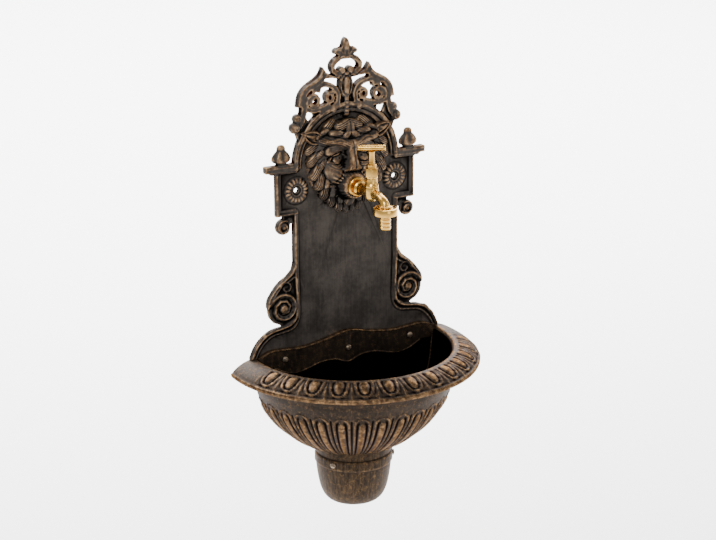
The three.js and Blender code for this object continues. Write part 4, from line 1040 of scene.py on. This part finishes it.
barbs = []
for low in (84, 90, 96):
    barbs += [(7.6, low), (8.4, low + 1), (8.5, low + 4.4), (8, low + 5), (7.6, low + 5.4)]
HOSE_TAIL = [(6.5, 84), *barbs, (7.7, 102.6), (8.5, 103.2), (8.5, 109.8), (6.5, 109.8), (6.5, 84)]
hose_tail = spun(HOSE_TAIL, SPOUT_END, UPWARD, 64)
fitted(hose_tail, "hose_tail_ribbed", "hose_tail", "fountain", polished)

SPINDLE = [(0, 162), (4.4, 162), (4.7, 162.4), (4.7, 181.6), (4.3, 182), (4.3, 182.8), (4.7, 183.2),
    (4.7, 197.2), (5.2, 198), (5.2, 199.6), (4.6, 200), (0, 200)]
spindle = spun(SPINDLE, CHAMBER, UPWARD, 48)
fitted(spindle, "tap_spindle_turned", "tap_spindle", "tap_handle", polished)

T_BAR_Z = 205
T_BAR_TURN = math.radians(-30)
T_BAR_END = [(4.75, 16.4), (4.45, 16.7), (4.45, 17.3), (4.75, 17.6), (4.75, 20.8), (4.4, 21.6), (3.6, 22),
    (0, 22)]
t_bar = spun([*[(r, -h) for r, h in reversed(T_BAR_END)], *T_BAR_END], (0, 0, 0), UPWARD, 48)
for angle, axis in ((math.pi / 2, "Y"), (T_BAR_TURN, "Z")):
    bmesh.ops.rotate(t_bar, cent=(0, 0, 0), matrix=Matrix.Rotation(angle, 3, axis), verts=t_bar.verts)
bmesh.ops.translate(t_bar, vec=Vector(CHAMBER) + Vector((0, 0, T_BAR_Z)), verts=t_bar.verts)
fitted(t_bar, "tap_t_bar_turned", "tap_t_bar", "tap_handle", polished)

# Screws.
# Dull darkened steel, with domed heads and a slot: three through the basin's upstand, two through the
# cup's band.
def steel():
    made, place = new_material("darkened_steel")
    cloud = noise(place, 300, 4)
    return skinned(made, {
        "Base Color": blended(cloud.within(0.35, 0.65), (0.1, 0.08, 0.062, 1), (0.3, 0.23, 0.16, 1)),
        "Roughness": 0.35 + 0.3 * cloud,
        "Metallic": 0.9,
        "Normal": roughened(cloud, 0.3, 0.0004),
    })


SHANK_HALF = 2.5
HEAD_TOP = 14.2
HEAD = [(SHANK_HALF, 11.2), (5, 11.2), (5, 12.2), (4.3, 13.3), (3, 14), (0, HEAD_TOP)]
SLOT_WIDE, SLOT_HALF_DEEP = 1.2, 1.2
SCREW_START, CUP_SCREW_TIP = 1.1, -4.6
dull = steel()


def slotted(node, place, turn, tip):
    """A screw along Y with its slot, turned about Z to face outwards. Its shank starts at the tip."""
    form = spun([(0, tip), (SHANK_HALF, tip), *HEAD], (0, 0, 0), FORWARD, 40)
    screw = thing(node + "_turned", form)
    cutter_form = bmesh.new()
    bmesh.ops.create_cube(cutter_form, size=1)
    bmesh.ops.scale(cutter_form, vec=(14, 2 * SLOT_HALF_DEEP, SLOT_WIDE), verts=cutter_form.verts)
    bmesh.ops.translate(cutter_form, vec=(0, -HEAD_TOP, 0), verts=cutter_form.verts)
    cutter = thing("slot_cutter", cutter_form)
    slot = screw.modifiers.new("slot", "BOOLEAN")
    slot.operation = "DIFFERENCE"
    slot.object = cutter
    settled(screw)
    bpy.data.objects.remove(cutter)
    screw.data.transform(Matrix.Translation(Vector(place) / METRE) @ Matrix.Rotation(turn, 4, "Z"))
    fitted(screw, screw.name, node, "fountain", dull)


for node, x, z in (
    ("basin_screw_left", -117.5, -146),
    ("basin_screw_middle", 0, -147),
    ("basin_screw_right", 117.5, -146),
):
    slotted(node, (x, -SCREW_START, z), 0, 0)
CUP_SCREW_TURN = math.radians(61)
CUP_SCREW_OUT, CUP_SCREW_Z = 53.6, -327
for node, side in (("cup_screw_left", -1), ("cup_screw_right", 1)):
    sideways, forwards = math.sin(CUP_SCREW_TURN) * CUP_SCREW_OUT, math.cos(CUP_SCREW_TURN) * CUP_SCREW_OUT
    place = (side * sideways, -CUP_AXIS - forwards, CUP_SCREW_Z)
    slotted(node, place, side * CUP_SCREW_TURN, CUP_SCREW_TIP)
